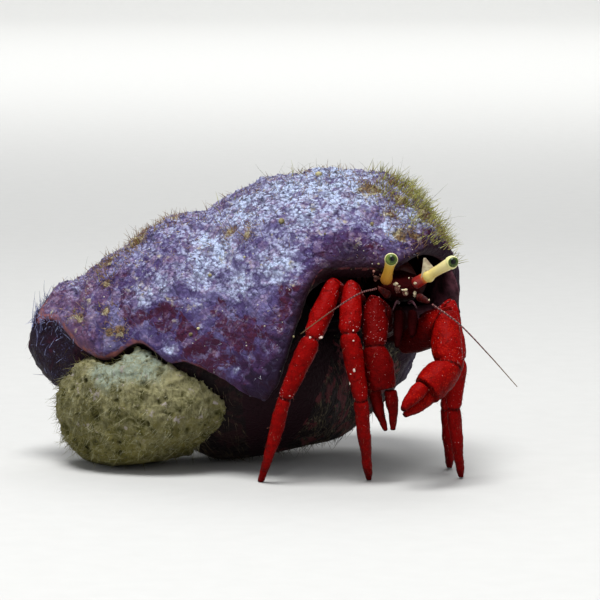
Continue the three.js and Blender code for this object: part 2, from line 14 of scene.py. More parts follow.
import bpy
import numpy as np
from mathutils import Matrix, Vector

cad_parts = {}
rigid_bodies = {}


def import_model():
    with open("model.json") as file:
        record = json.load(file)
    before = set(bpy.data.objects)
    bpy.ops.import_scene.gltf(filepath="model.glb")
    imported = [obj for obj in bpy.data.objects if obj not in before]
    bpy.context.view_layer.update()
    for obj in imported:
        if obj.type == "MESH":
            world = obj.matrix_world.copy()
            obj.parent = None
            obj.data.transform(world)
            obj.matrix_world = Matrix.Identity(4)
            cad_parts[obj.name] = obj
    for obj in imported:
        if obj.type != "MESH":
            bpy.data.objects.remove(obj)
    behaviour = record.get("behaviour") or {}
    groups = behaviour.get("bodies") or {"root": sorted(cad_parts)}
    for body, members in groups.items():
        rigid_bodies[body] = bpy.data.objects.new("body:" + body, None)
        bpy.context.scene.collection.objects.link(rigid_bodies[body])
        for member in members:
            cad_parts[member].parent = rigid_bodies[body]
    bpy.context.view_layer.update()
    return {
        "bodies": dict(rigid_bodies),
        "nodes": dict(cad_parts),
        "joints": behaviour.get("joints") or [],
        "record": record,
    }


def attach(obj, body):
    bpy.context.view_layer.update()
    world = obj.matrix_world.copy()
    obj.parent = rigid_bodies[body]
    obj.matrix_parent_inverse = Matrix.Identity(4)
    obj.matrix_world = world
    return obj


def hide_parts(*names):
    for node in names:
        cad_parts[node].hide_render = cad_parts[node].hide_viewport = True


LOG = logging.getLogger("hermit_crab")
MM = 0.001
SHIFT = np.array((0.66, 1.12, 0.0))  # from the frame in which the animal's places are given
SEED = 11
LIMITS = ((-26.4, 26.4), (-21.0, 21.0), (0.0, 32.0))  # how far strands reach, in millimetres

Point = tuple[float, float, float]
Colour = tuple[float, float, float]
Node = bpy.types.Node
Object = bpy.types.Object
Array = np.ndarray


class Look(Enum):
    """How a part of the animal's armour is coloured."""

    LEG = "leg"
    LEFT_CLAW = "left_claw"
    RIGHT_CLAW = "right_claw"
    SHIELD = "shield"


# ------------------------------------------------------------------ shader graphs


class Value:
    """A number in a shader graph, with its maths written as Python."""

    def __init__(self, graph: "Graph", socket: bpy.types.NodeSocket) -> None:
        """Keeps the socket and the graph that new Math nodes go into."""
        self.graph = graph
        self.socket = socket

    def _math(self, operation: str, *parts: "Value | float") -> "Value":
        """One Math node of the given operation on the parts."""
        return self.graph.math(operation, *parts)

    def __add__(self, other: "Value | float") -> "Value":
        """Sum."""
        return self._math("ADD", self, other)

    __radd__ = __add__

    def __mul__(self, other: "Value | float") -> "Value":
        """Product."""
        return self._math("MULTIPLY", self, other)

    __rmul__ = __mul__

    def __sub__(self, other: "Value | float") -> "Value":
        """Difference."""
        return self._math("SUBTRACT", self, other)

    def __rsub__(self, other: float) -> "Value":
        """Difference from a number."""
        return self._math("SUBTRACT", other, self)

    def __pow__(self, other: float) -> "Value":
        """Power."""
        return self._math("POWER", self, other)

    def least(self, other: "Value | float") -> "Value":
        """The smaller of the two."""
        return self._math("MINIMUM", self, other)

    def most(self, other: "Value | float") -> "Value":
        """The larger of the two."""
        return self._math("MAXIMUM", self, other)

    def rise(self, low: float, high: float) -> "Value":
        """A smooth step from 0 at low to 1 at high, or down where high is the smaller.

        Args:
            low: where the step starts.
            high: where the step ends.

        Returns:
            The step's value between 0 and 1.
        """
        first, last, start, end = (low, high, 0.0, 1.0) if low < high else (high, low, 1.0, 0.0)
        node = self.graph.add(
            "ShaderNodeMapRange",
            {"interpolation_type": "SMOOTHSTEP"},
            {"Value": self, "From Min": first, "From Max": last, "To Min": start, "To Max": end},
        )
        return Value(self.graph, node.outputs["Result"])


class Graph:
    """A material's node graph, whose patterns are measured in millimetres."""

    def __init__(self, name: str) -> None:
        """Starts a material with one Principled shader on its output."""
        self.material = bpy.data.materials.new(name)
        self.material.use_nodes = True
        self.tree = self.material.node_tree
        self.tree.nodes.clear()
        self.shader = self.add("ShaderNodeBsdfPrincipled")
        output = self.add("ShaderNodeOutputMaterial")
        self.tree.links.new(self.shader.outputs[0], output.inputs["Surface"])
        place = self.add("ShaderNodeTexCoord").outputs["Object"]
        scaled = self.add("ShaderNodeVectorMath", {"operation": "SCALE"}, {0: place, "Scale": 1 / MM})
        self.place = scaled.outputs[0]

    def add(self, kind: str, settings: dict | None = None, inputs: dict | None = None) -> Node:
        """Adds any node.

        Args:
            kind: the node's type.
            settings: its properties, set before its sockets.
            inputs: values or links by socket name or number.

        Returns:
            The new node.
        """
        node = self.tree.nodes.new(kind)
        for name, value in (settings or {}).items():
            setattr(node, name, value)
        for key, value in (inputs or {}).items():
            socket = node.inputs[key]
            if isinstance(value, Value):
                value = value.socket
            if isinstance(value, bpy.types.NodeSocket):
                self.tree.links.new(value, socket)
            elif isinstance(value, tuple) and len(socket.default_value) == 4:
                socket.default_value = (*value[:3], 1.0)
            else:
                socket.default_value = value
        return node

    def math(self, operation: str, *parts: "Value | float") -> Value:
        """A Math node of the given operation on its parts."""
        node = self.add("ShaderNodeMath", {"operation": operation}, dict(enumerate(parts)))
        return Value(self, node.outputs[0])

    def stretched(self, scale: Point, turn: Point = (0.0, 0.0, 0.0)) -> bpy.types.NodeSocket:
        """The place in millimetres, turned by angles in radians and then scaled along each axis."""
        node = self.add("ShaderNodeMapping", {}, {"Vector": self.place, "Rotation": turn, "Scale": scale})
        return node.outputs[0]

    def warped(self, amount: float, size: float, fine: int = 3) -> bpy.types.NodeSocket:
        """The place in millimetres, pushed about by as many millimetres of a soft noise."""
        inputs = {"Vector": self.place, "Scale": 1 / size, "Detail": fine}
        cloud = self.add("ShaderNodeTexNoise", {}, inputs).outputs["Color"]
        inputs = {0: cloud, 1: (amount,) * 3, 2: self.place}
        return self.add("ShaderNodeVectorMath", {"operation": "MULTIPLY_ADD"}, inputs).outputs[0]

    def noise(self, size: float, detail: float = 3, rough: float = 0.55, warp: float = 0.0, place=None) -> Value:
        """Cloudy noise between 0 and 1.

        Args:
            size: the size of its patches in millimetres.
            detail: how many finer layers it has.
            rough: how strong the finer layers are.
            warp: how far it is distorted.
            place: the vector to read, or the place in millimetres.

        Returns:
            The noise.
        """
        inputs = {"Vector": place or self.place, "Scale": 1 / size, "Detail": detail}
        inputs |= {"Roughness": rough, "Distortion": warp}
        return Value(self, self.add("ShaderNodeTexNoise", {}, inputs).outputs[0])

    def cells(self, size: float, feature: str = "F1", place=None, output: str = "Distance") -> Value:
        """A cell pattern's distance from each cell's centre or edge, as a share of a cell."""
        inputs = {"Vector": place or self.place, "Scale": 1 / size}
        return Value(self, self.add("ShaderNodeTexVoronoi", {"feature": feature}, inputs).outputs[output])

    def stored(self, name: str) -> Value:
        """A number kept on the mesh's points."""
        node = self.add("ShaderNodeAttribute", {"attribute_name": name})
        return Value(self, node.outputs["Fac"])

    def mix(self, low, high, share: "Value | float", mode: str = "MIX") -> bpy.types.NodeSocket:
        """Blends two colours.

        Args:
            low: the colour or socket at share 0.
            high: the colour or socket at share 1.
            share: how much of the second one shows.
            mode: the way of blending.

        Returns:
            The blended colour's socket.
        """
        settings = {"data_type": "RGBA", "blend_type": mode, "clamp_factor": True}
        node = self.add("ShaderNodeMix", settings, {0: share, 6: low, 7: high})
        return node.outputs[2]

    def ramp(self, value: Value, stops: Sequence[tuple[float, Colour]]) -> bpy.types.NodeSocket:
        """Colours that change softly along a value.

        Args:
            value: what the colours follow, from 0 to 1.
            stops: each colour with the value at which it stands.

        Returns:
            The colour's socket.
        """
        node = self.add("ShaderNodeValToRGB", {}, {"Fac": value})
        elements = node.color_ramp.elements
        while len(elements) < len(stops):
            elements.new(1.0)
        for element, (place, colour) in zip(elements, stops):
            element.position = place
            element.color = (*colour, 1.0)
        return node.outputs["Color"]

    def dress(self, colour, roughness: "Value | float", height: "Value | None" = None, **fixed: float) -> None:
        """Feeds the shader.

        Args:
            colour: the base colour's socket or value.
            roughness: its roughness.
            height: the relief in millimetres, if it has any.
            fixed: numbers for further sockets, by their names with _ for a space.
        """
        inputs = {"Base Color": colour, "Roughness": roughness}
        if height is not None:
            bump = self.add("ShaderNodeBump", {}, {"Strength": 1.0, "Distance": MM, "Height": height})
            inputs["Normal"] = bump.outputs[0]
        for name, value in fixed.items():
            inputs[name.replace("_", " ")] = value
        for key, value in inputs.items():
            socket = self.shader.inputs[key]
            if isinstance(value, Value):
                value = value.socket
            if isinstance(value, bpy.types.NodeSocket):
                self.tree.links.new(value, socket)
            elif isinstance(value, tuple):
                socket.default_value = (*value[:3], 1.0)
            else:
                socket.default_value = value


# ------------------------------------------------------------------ finishes


CRUST_FIELDS = ("crust", "depth", "along", "sky", "red", "stain", "painted_shade", "frost", "lit_wall")


@dataclass(frozen=True)
class CrustFinish:
    """Stony algal crust: purple with maroon patches, pale frost and painted top light on top, over a dark weedy base in
    painted shadow, with painted shade near and inside the mouth.
    """

    purple: Colour = (0.060, 0.040, 0.130)
    violet: Colour = (0.125, 0.105, 0.245)
    lavender: Colour = (0.215, 0.205, 0.370)
    chalk: Colour = (0.400, 0.425, 0.600)
    white: Colour = (0.520, 0.610, 0.830)
    maroon: Colour = (0.060, 0.010, 0.026)
    rust: Colour = (0.120, 0.026, 0.032)
    plum: Colour = (0.050, 0.018, 0.055)
    mauve: Colour = (0.300, 0.215, 0.330)
    rose: Colour = (0.165, 0.075, 0.105)
    rim: Colour = (0.255, 0.088, 0.080)
    shadow: Colour = (0.014, 0.008, 0.024)
    moss: Colour = (0.075, 0.050, 0.020)
    ochre: Colour = (0.250, 0.150, 0.065)
    tan: Colour = (0.430, 0.380, 0.240)
    base_and_shadow: Colour = (0.009, 0.005, 0.006)
    bare_streak: Colour = (0.180, 0.150, 0.095)
    knob: Colour = (0.014, 0.006, 0.013)
    knob_blue: Colour = (0.085, 0.090, 0.190)
    # mouth: near black, the painted shade deep inside the aperture
    mouth: Colour = (0.0015, 0.0006, 0.0008)
    lit_wall: Colour = (0.170, 0.055, 0.080)
    # lip: a painted shade colour for the mouth's rim and the crust's edge above it
    lip: Colour = (0.016, 0.004, 0.007)

    def make(self) -> bpy.types.Material:
        """Builds the material from the fields kept on the skin."""
        g = Graph("crust")
        crust, depth, along, sky, red, stain, painted_shade, frost, lit_wall = (g.stored(name) for name in CRUST_FIELDS)
        broad = g.noise(5.0, 4, 0.6, 0.6)
        patch = g.noise(2.4, 5, 0.66, 0.8)
        grain = g.noise(0.7, 5, 0.72)
        fine = g.noise(0.26, 4, 0.75)
        flaky = g.warped(1.5, 1.6)
        cell = g.cells(1.7, "F1", flaky, "Color")
        seam = g.cells(1.7, "DISTANCE_TO_EDGE", flaky)
        chip = g.cells(0.62, "F1", g.warped(0.5, 0.5), "Color")
        grit = g.cells(0.42, "F1", g.warped(0.2, 0.4))

        ground = g.mix(self.purple, self.violet, (broad * 0.6 + cell * 0.55).rise(0.42, 0.74))
        ground = g.mix(ground, self.lavender, (cell * 0.6 + patch * 0.5 - painted_shade * 0.5).rise(0.56, 0.76) * 0.75)
        # painted shade: plum where the surface faces down, near the mouth and at the shade marks
        ground = g.mix(ground, self.plum, (painted_shade + patch * 0.7 - 0.3).rise(0.25, 0.75) * 0.9)
        reddish = red * 0.50 + patch * 1.15 + chip * 0.22 + painted_shade * 0.15 + cell * 0.14
        ground = g.mix(ground, self.maroon, reddish.rise(0.93, 1.02) * 0.92)
        tip_end = (along + (broad - 0.5) * 12.0 + (patch - 0.5) * 8.0).rise(19.0, 11.0)
        ground = g.mix(ground, self.rose, (tip_end * 0.4 + patch * 0.8 + chip * 0.3).rise(0.70, 0.92) * 0.6)
        ground = g.mix(ground, self.lavender, chip.rise(0.74, 0.88) * grain.rise(0.40, 0.58) * 0.5)

        # painted top light: lavender, chalk and white where the surface faces up, mixed with the real pale frost
        # patches and the grain
        light = sky * 0.62 + frost * 0.45 + grain * 0.75 + patch * 0.6 - painted_shade * 0.4 - tip_end * 0.12
        ground = g.mix(ground, self.lavender, light.rise(0.98, 1.3) * 0.85)
        frost_and_top_light = sky * 0.42 + frost * 0.42 + fine * 0.85 + patch * 0.7 + chip * 0.3 - grit * 0.35 - painted_shade * 0.3
        frost_and_top_light = frost_and_top_light - tip_end * 0.18 - red * 0.2 + cell * 0.12
        frost_and_lit_top = (sky * 0.6 + frost * 0.65).least(1.0)
        ground = g.mix(ground, self.chalk, frost_and_top_light.rise(1.05, 1.30) * frost_and_lit_top)
        ground = g.mix(ground, self.white, frost_and_top_light.rise(1.28, 1.48) * frost_and_lit_top * 0.9)
        flake = g.cells(0.85, "F1", g.warped(0.7, 0.7), "Color")
        mauve = flake.rise(0.62, 0.70) * grain.rise(0.40, 0.52) * sky.rise(0.2, 0.6)
        ground = g.mix(ground, self.mauve, mauve * 0.6)
        dapple = g.noise(1.3, 4, 0.7, 0.9)
        dark = (dapple + grit * 0.12 + flake * 0.08).rise(0.59, 0.68) * (sky * 0.6 + 0.15)
        ground = g.mix(ground, g.mix(self.plum, self.purple, patch.rise(0.42, 0.55)), dark * 0.9)
        crumbs = chip.rise(0.55, 0.75) * g.noise(3.2, 4, 0.65, 0.6).rise(0.50, 0.60) * sky.rise(0.3, 0.7)
        ground = g.mix(ground, self.tan, crumbs * grain.rise(0.46, 0.60) * 0.85)
        # painted shade in the crevices between the crust's grains
        gap_shade = (grit * 0.9 + grain * 0.7 - chip * 0.3).rise(0.64, 0.84) * (sky * 0.7 + 0.12)
        ground = g.mix(ground, g.mix(self.shadow, self.purple, flake.rise(0.35, 0.6)), gap_shade.least(1.0) * 0.85)
        ground = g.mix(ground, self.lavender, seam.rise(0.04, 0.0) * grain.rise(0.42, 0.58) * 0.4)
        mossy = stain * 0.62 + grain * 0.6 + patch * 0.55
        ground = g.mix(ground, self.moss, mossy.rise(0.96, 1.12) * 0.85)
        ground = g.mix(ground, self.ochre, mossy.rise(0.9, 1.15) * fine.rise(0.46, 0.56) * 0.8)
        ground = g.mix(ground, self.tan, mossy.rise(0.85, 1.05) * chip.rise(0.52, 0.68) * 0.85)
        speck = g.cells(0.33, "F1", None, "Color").rise(0.955, 0.975) * g.cells(0.33).rise(0.42, 0.25)
        ground = g.mix(ground, g.mix(self.tan, (0.60, 0.61, 0.56), patch.rise(0.4, 0.5)), speck * (sky * 0.6 + 0.4))
        # painted shadow: near black where the painted shade is deepest
        ground = g.mix(ground, self.shadow, (painted_shade + patch * 0.4).rise(0.95, 1.2) * 0.75)

        band = crust + (patch - 0.5) * 1.3 + (grain - 0.5) * 0.8 - along.rise(20.0, 15.5) * 0.45
        hem = band.rise(0.38, 0.14) * along.rise(31.5, 27.0) * (patch.rise(0.38, 0.52) * 0.75 + 0.25)
        hem = hem * (along.rise(21.0, 16.0) * 0.45 + 0.5)
        ground = g.mix(ground, g.mix(self.rim, self.rose, grain.rise(0.45, 0.6)), hem)
        # painted shade: the dark lip colour under the crust's edge by the mouth
        ground = g.mix(ground, self.lip, crust.rise(2.2, 0.2) * along.rise(29.0, 33.0) * 0.75)

        strands = g.noise(0.6, 4, 0.7, 1.4, g.stretched((1.6, 1.0, 0.45), (0.0, 0.45, 0.0)))
        # painted shadow: the base's own dark colour deepened to near black under the overhang; its streaks and rust
        # show mostly towards the side in light by the mouth
        lit_side = along.rise(28.0, 33.0) * 0.88 + 0.12
        under = g.mix(self.base_and_shadow, self.bare_streak, strands.rise(0.50, 0.64) * broad.rise(0.40, 0.60) * lit_side)
        under = g.mix(under, self.rust, patch.rise(0.50, 0.58) * lit_side * 0.8)
        under = g.mix(under, self.lavender, g.cells(0.5, "F1", None, "Color").rise(0.95, 0.97) * grain.rise(0.5, 0.6) * 0.4)
        threads = g.noise(0.36, 3, 0.6, 2.6).rise(0.55, 0.61)
        tip = g.mix(self.knob, self.maroon, patch.rise(0.52, 0.66) * 0.6)
        tip = g.mix(tip, self.knob_blue, threads * patch.rise(0.56, 0.44) * 0.5)
        under = g.mix(tip, under, along.rise(11.0, 15.0))
        # painted shade on the base at the mouth's rim
        under = g.mix(under, self.lip, depth.rise(-0.8, -0.4) * along.rise(30.0, 33.0))
        colour = g.mix(under, ground, crust.rise(-0.05, 0.12))
        # painted shade: the mouth's inside turns near black with depth
        inside = g.mix(self.lip, self.mouth, (depth + grain * 0.8).rise(0.4, 2.4))
        # painted light: the mouth's inner side shows a lighter maroon where light falls into it
        inside = g.mix(inside, self.lit_wall, lit_wall * (patch * 0.7 + grain * 0.6).rise(0.42, 0.8))
        colour = g.mix(colour, inside, depth.rise(-0.2, 0.4))

        chips = grit.rise(0.75, 0.15) * 0.13 + chip * 0.10 + fine * 0.12
        relief = chips * (sky * 0.8 + frost * 0.5 + 0.25) + grain * 0.14 + seam.rise(0.0, 0.1) * 0.05 + cell * 0.05
        relief = relief * depth.rise(2.5, 0.5)
        g.dress(colour, 0.86 - sky.rise(0.6, 0.0) * 0.26, relief, Specular_IOR_Level=0.10)
        return g.material


@dataclass(frozen=True)
class SpongeFinish:
    """Soft porous growth: olive with cream fibres, pores darkened by painted shade and a minty top."""

    cream: Colour = (0.285, 0.265, 0.140)
    mint: Colour = (0.31, 0.37, 0.30)
    olive: Colour = (0.070, 0.066, 0.020)
    yellow: Colour = (0.155, 0.135, 0.032)
    white: Colour = (0.40, 0.43, 0.38)
    fleck: Colour = (0.40, 0.35, 0.33)
    pore_shade: Colour = (0.022, 0.019, 0.006)

    def make(self) -> bpy.types.Material:
        """Builds the material from the pore and height fields kept on the skin."""
        g = Graph("sponge")
        pore, height, mint = g.stored("pore"), g.stored("height"), g.stored("mint")
        cloud = g.noise(2.6, 4, 0.62, 0.6)
        patch = g.noise(1.1, 4, 0.6, 0.5)
        grain = g.noise(0.32, 4, 0.75)
        fibre = g.noise(0.45, 4, 0.7, 1.4, g.stretched((1.0, 0.5, 0.30), (0.0, 0.5, 0.0)))
        pits = g.cells(0.7, "F1", g.warped(0.8, 0.8))
        ochre = (cloud * 0.6 + patch * 0.5 + fibre * 0.35 + height * 0.12).rise(0.62, 0.92)
        colour = g.mix(self.olive, self.cream, ochre)
        colour = g.mix(colour, self.yellow, (patch * 0.8 - height * 0.3).rise(0.2, 0.42) * 0.7)
        top = height * 0.50 + cloud * 0.8 + fibre * 0.3 + mint * 0.72
        colour = g.mix(colour, self.mint, top.rise(1.18, 1.55) * 0.85)
        web = g.cells(1.3, "DISTANCE_TO_EDGE", g.warped(1.6, 0.8))
        colour = g.mix(colour, self.cream, web.rise(0.10, 0.0) * grain.rise(0.4, 0.55) * 0.8)
        colour = g.mix(colour, self.white, (fibre * 0.9 + grain * 0.5 + mint * 0.12).rise(0.84, 0.97) * 0.8)
        colour = g.mix(colour, self.olive, grain.rise(0.54, 0.68) * 0.6)
        colour = g.mix(colour, self.fleck, (patch * 0.7 + g.noise(0.9, 3) * 0.6).rise(0.76, 0.84) * height.rise(0.1, 0.5))
        # painted shade in the pits, between the fibres, and around and down the pores
        colour = g.mix(colour, self.pore_shade, pits.rise(0.22, 0.08) * cloud.rise(0.45, 0.6) * 0.5)
        colour = g.mix(colour, self.pore_shade, fibre.rise(0.38, 0.28) * 0.6)
        colour = g.mix(colour, self.olive, (pore + (grain - 0.5) * 0.6).rise(0.10, 0.6) * 0.7)
        colour = g.mix(colour, self.pore_shade, (pore + (grain - 0.5) * 0.5).rise(0.55, 1.05) * 0.8)
        relief = grain * 0.18 + pits.rise(0.1, 0.4) * 0.10 + fibre * 0.42
        g.dress(colour, 0.92, relief, Specular_IOR_Level=0.1)
        return g.material


@dataclass(frozen=True)
class ArmourFinish:
    """The animal's own hard skin: deep red, finely grained, with a few pale specks; painted light where it faces up and
    to the front, painted shade underneath and on the sides.
    """

    look: Look
    red: Colour = (0.225, 0.0016, 0.0014)
    shade: Colour = (0.040, 0.0004, 0.0005)
    orange: Colour = (0.36, 0.007, 0.002)
    pale: Colour = (0.48, 0.17, 0.17)
    seam: Colour = (0.010, 0.0005, 0.0007)
    specks: float = 0.9
    glow: float = 0.3
    gloss: float = 0.03
    rough: float = 0.34

    def make(self) -> bpy.types.Material:
        """Builds the material from the hinge, painted light, painted mouth shade and reach fields kept on the skin."""
        g = Graph(f"armour_{self.look.value}")
        hinge, painted_light, reach, painted_mouth_shade = (g.stored(name) for name in ("hinge", "painted_light", "reach", "painted_mouth_shade"))
        cloud = g.noise(1.5, 3, 0.6, 0.4)
        grain = g.noise(0.24, 3, 0.65)
        streak = g.noise(0.5, 3, 0.6, 0.4, g.stretched((1.4, 1.4, 0.35)))
        beads = g.cells(0.24, "F1")
        rare = g.cells(0.38, "F1")
        chance = g.cells(0.38, "F1", None, "Color")
        # painted light and shade: the red is lighter where the surface faces up and to the front, and turns to the
        # shade colour elsewhere
        tone = painted_light * 0.75 + cloud * 0.4 + grain * 0.3 + streak * 0.25
        colour = g.mix(self.shade, self.red, tone.rise(0.62, 1.22))
        # the skin's own orange grains, shown more strongly where the painted light falls
        grain_and_light = beads.rise(0.5, 0.1) * (cloud + painted_light * 0.3).rise(0.45, 0.8)
        colour = g.mix(colour, self.orange, grain_and_light * self.glow)
        dots = rare.rise(0.22, 0.08) * chance.rise(0.80, 0.86) * (grain * 0.5 + 0.5)
        near = hinge.rise(1.6, 0.3) * 0.8 + 0.2
        colour = g.mix(colour, self.pale, dots * near * self.specks)
        # painted shadow: the first stretch of each limb, inside the shell's mouth, turns to the shade colour
        colour = g.mix(colour, self.shade, (painted_mouth_shade + (cloud - 0.5) * 0.4).rise(0.2, 0.9) * 0.9)
        crease = (hinge + (grain - 0.5) * 0.3 + (cloud - 0.5) * 0.25).rise(0.20, 0.04)
        colour = g.mix(colour, self.seam, crease * (streak.rise(0.35, 0.6) * 0.5 + 0.4))
        blotch = g.noise(0.9, 4, 0.7, 0.6)
        colour = g.mix(colour, self.shade, blotch.rise(0.54, 0.68) * 0.55)
        colour = g.mix(colour, self.pale, blotch.rise(0.36, 0.28) * grain.rise(0.5, 0.62) * near * self.specks * 0.5)
        colour = g.mix(colour, self.seam, reach.rise(0.988, 1.0) * 0.8)
        relief = beads.rise(0.5, 0.1) * 0.035 + grain * 0.045 + streak * 0.05
        g.dress(colour, grain * 0.22 + self.rough, relief, Specular_IOR_Level=self.gloss)
        return g.material


ARMOUR = {
    Look.LEG: ArmourFinish(Look.LEG),
    Look.LEFT_CLAW: ArmourFinish(Look.LEFT_CLAW, (0.215, 0.0014, 0.0011), (0.038, 0.0003, 0.0004),
                                 (0.40, 0.011, 0.002), glow=0.75, specks=0.35),
    # the right claw's darker reds are painted shade: it hangs in the shadow of the shell's mouth
    Look.RIGHT_CLAW: ArmourFinish(Look.RIGHT_CLAW, (0.125, 0.0009, 0.0009), (0.026, 0.0003, 0.0004),
                                  (0.19, 0.003, 0.001), glow=0.25, specks=0.8),
    # the shield's near-black reds are painted shade: carapace, thorax, braces and mouthparts sit in shadow inside the
    # shell
    Look.SHIELD: ArmourFinish(Look.SHIELD, (0.020, 0.0010, 0.0014), (0.005, 0.0003, 0.0004), (0.05, 0.004, 0.003),
                              (0.12, 0.05, 0.04), glow=0.2, specks=0.4, gloss=0.015, rough=0.6),
}


@dataclass(frozen=True)
class StalkFinish:
    """An eyestalk, coloured in soft stages from its foot to its head."""

    name: str
    stages: tuple[tuple[float, Colour], ...]
    fleck: Colour = (0.45, 0.16, 0.02)

    def make(self) -> bpy.types.Material:
        """Builds the material from the reach field kept on the stalk."""
        g = Graph(self.name)
        reach = g.stored("reach") + (g.noise(0.5, 3) - 0.5) * 0.07
        grain = g.noise(0.14, 3, 0.6)
        colour = g.mix(g.ramp(reach, self.stages), self.fleck, grain.rise(0.6, 0.75) * 0.3)
        g.dress(colour, 0.34, grain * 0.02, Specular_IOR_Level=0.4)
        return g.material


RIGHT_STALK = StalkFinish("stalk_right", ((0.0, (0.36, 0.13, 0.02)), (0.25, (0.50, 0.23, 0.025)),
                                          (0.7, (0.58, 0.33, 0.04)), (0.95, (0.62, 0.42, 0.07))))
LEFT_STALK = StalkFinish("stalk_left", ((0.0, (0.12, 0.002, 0.002)), (0.25, (0.24, 0.008, 0.004)),
                                        (0.33, (0.55, 0.14, 0.02)), (0.37, (0.62, 0.50, 0.14)),
                                        (0.5, (0.58, 0.46, 0.13)), (0.9, (0.64, 0.56, 0.25))))


@dataclass(frozen=True)
class CorneaFinish:
    """A glossy cornea: a pale rim, a green field towards the front and a black spot in it."""

    name: str
    edge: float = 0.8
    rim: Colour = (0.66, 0.63, 0.27)
    green: Colour = (0.115, 0.165, 0.022)
    deep: Colour = (0.030, 0.055, 0.009)
    pupil: Colour = (0.0012, 0.0015, 0.0012)

    def make(self) -> bpy.types.Material:
        """Builds the material from the gaze field: 0 at the middle of the gaze, 1 a quarter turn off."""
        g = Graph(self.name)
        gaze, spot = g.stored("gaze"), g.stored("spot")
        mottle = g.noise(0.13, 3, 0.65)
        green = g.mix(self.green, self.deep, (mottle * 0.8 + spot.rise(0.7, 0.3) * 0.25).rise(0.42, 0.62))
        green = g.mix(green, self.deep, gaze.rise(self.edge - 0.2, self.edge - 0.03) * 0.75)
        colour = g.mix(green, self.rim, (gaze + mottle * 0.05).rise(self.edge, self.edge + 0.04))
        colour = g.mix(colour, self.pupil, (spot + mottle * 0.14).rise(0.40, 0.31))
        g.dress(colour, 0.3, None, Specular_IOR_Level=0.2, Coat_Weight=0.1, Coat_Roughness=0.2)
        return g.material


@dataclass(frozen=True)
class BandedFinish:
    """A feeler with narrow pale bands."""

    name: str
    dark: Colour = (0.055, 0.012, 0.012)
    light: Colour = (0.22, 0.085, 0.08)
    end: Colour = (0.13, 0.085, 0.035)
    bands: float = 30.0

    def make(self) -> bpy.types.Material:
        """Builds the material from the reach field kept on the feeler."""
        g = Graph(self.name)
        reach = g.stored("reach")
        ring = g.math("SINE", reach * (self.bands * math.tau))
        colour = g.mix(self.dark, self.light, ring.rise(0.3, 0.9) * reach.rise(0.95, 0.3))
        colour = g.mix(colour, self.end, reach.rise(0.45, 0.95) * 0.8)
        g.dress(colour, 0.5, ring * 0.01, Specular_IOR_Level=0.25)
        return g.material


@dataclass(frozen=True)
class PlainFinish:
    """A small growth or organ: one colour broken up by a second one, with fine relief."""

    name: str
    colour: Colour
    second: Colour
    size: float = 0.5
    roughness: float = 0.6
    relief: float = 0.04
    gloss: float = 0.15

    def make(self) -> bpy.types.Material:
        """Builds the material from two layers of noise."""
        g = Graph(self.name)
        cloud = g.noise(self.size, 4, 0.6, 0.3)
        fine = g.noise(self.size * 0.3, 3, 0.6)
        colour = g.mix(self.colour, self.second, (cloud * 0.7 + fine * 0.4).rise(0.45, 0.72))
        g.dress(colour, self.roughness, fine * self.relief, Specular_IOR_Level=self.gloss)
        return g.material


# ------------------------------------------------------------------ modelling tools


def only(piece: Object) -> None:
    """Makes a piece the one selected and active object."""
    bpy.ops.object.select_all(action="DESELECT")
    piece.select_set(True)
    bpy.context.view_layer.objects.active = piece


def join(pieces: Sequence[Object], name: str) -> Object:
    """Joins pieces into the first one and names it."""
    only(pieces[0])
    for piece in pieces[1:]:
        piece.select_set(True)
    if len(pieces) > 1:
        bpy.ops.object.join()
    pieces[0].name = pieces[0].data.name = name
    return pieces[0]


def modify(piece: Object, kind: str, **settings) -> None:
    """Adds a modifier with its settings and applies it.

    Args:
        piece: the object to change.
        kind: the modifier's type.
        settings: its properties.
    """
    only(piece)
    bpy.ops.object.modifier_add(type=kind)
    modifier = piece.modifiers[-1]
    for name, value in settings.items():
        setattr(modifier, name, value)
    bpy.ops.object.modifier_apply(modifier=modifier.name)


def carved(piece: Object, size: float, depth: float, kind: str = "CLOUDS", weights: Array | None = None) -> None:
    """Pushes a piece's surface in and out by a solid texture.

    Args:
        piece: the object to change.
        size: the texture's size in the piece's units.
        depth: the whole travel, half inwards and half outwards.
        kind: the texture's type.
        weights: how strongly each point is moved, from 0 to 1.
    """
    texture = bpy.data.textures.new(f"{piece.name}_{kind}_{size}", kind)
    texture.noise_scale = size
    if kind == "CLOUDS":
        texture.noise_depth = 3
    settings = {"texture": texture, "strength": depth, "texture_coords": "LOCAL", "mid_level": 0.5}
    if weights is not None:
        group = piece.vertex_groups.new(name="carve")
        for level in range(1, 11):
            chosen = np.nonzero(np.round(weights * 10) == level)[0]
            if len(chosen):
                group.add(chosen.tolist(), level / 10, "REPLACE")
        settings["vertex_group"] = group.name
    modify(piece, "DISPLACE", **settings)
    if weights is not None:
        piece.vertex_groups.clear()
    bpy.data.textures.remove(texture)


def points_of(piece: Object) -> Array:
    """A piece's points as rows."""
    mesh = piece.data
    flat = np.empty(len(mesh.vertices) * 3)
    mesh.vertices.foreach_get("co", flat)
    return flat.reshape(-1, 3)


def normals_of(piece: Object) -> Array:
    """The outward directions at a piece's points."""
    mesh = piece.data
    flat = np.empty(len(mesh.vertices) * 3)
    mesh.vertex_normals.foreach_get("vector", flat)
    return flat.reshape(-1, 3)


def set_points(piece: Object, places: Array) -> None:
    """Moves a piece's points to new places."""
    piece.data.vertices.foreach_set("co", places.astype(np.float32).ravel())
    piece.data.update()


def keep(piece: Object, name: str, values: Array) -> None:
    """Keeps one number for each of a piece's points, for its finish to read."""
    store = piece.data.attributes.new(name, "FLOAT", "POINT")
    store.data.foreach_set("value", np.asarray(values, dtype=np.float32))


def smooth(x: Array) -> Array:
    """A smooth step from 0 to 1."""
    x = np.clip(x, 0.0, 1.0)
    return x * x * (3 - 2 * x)


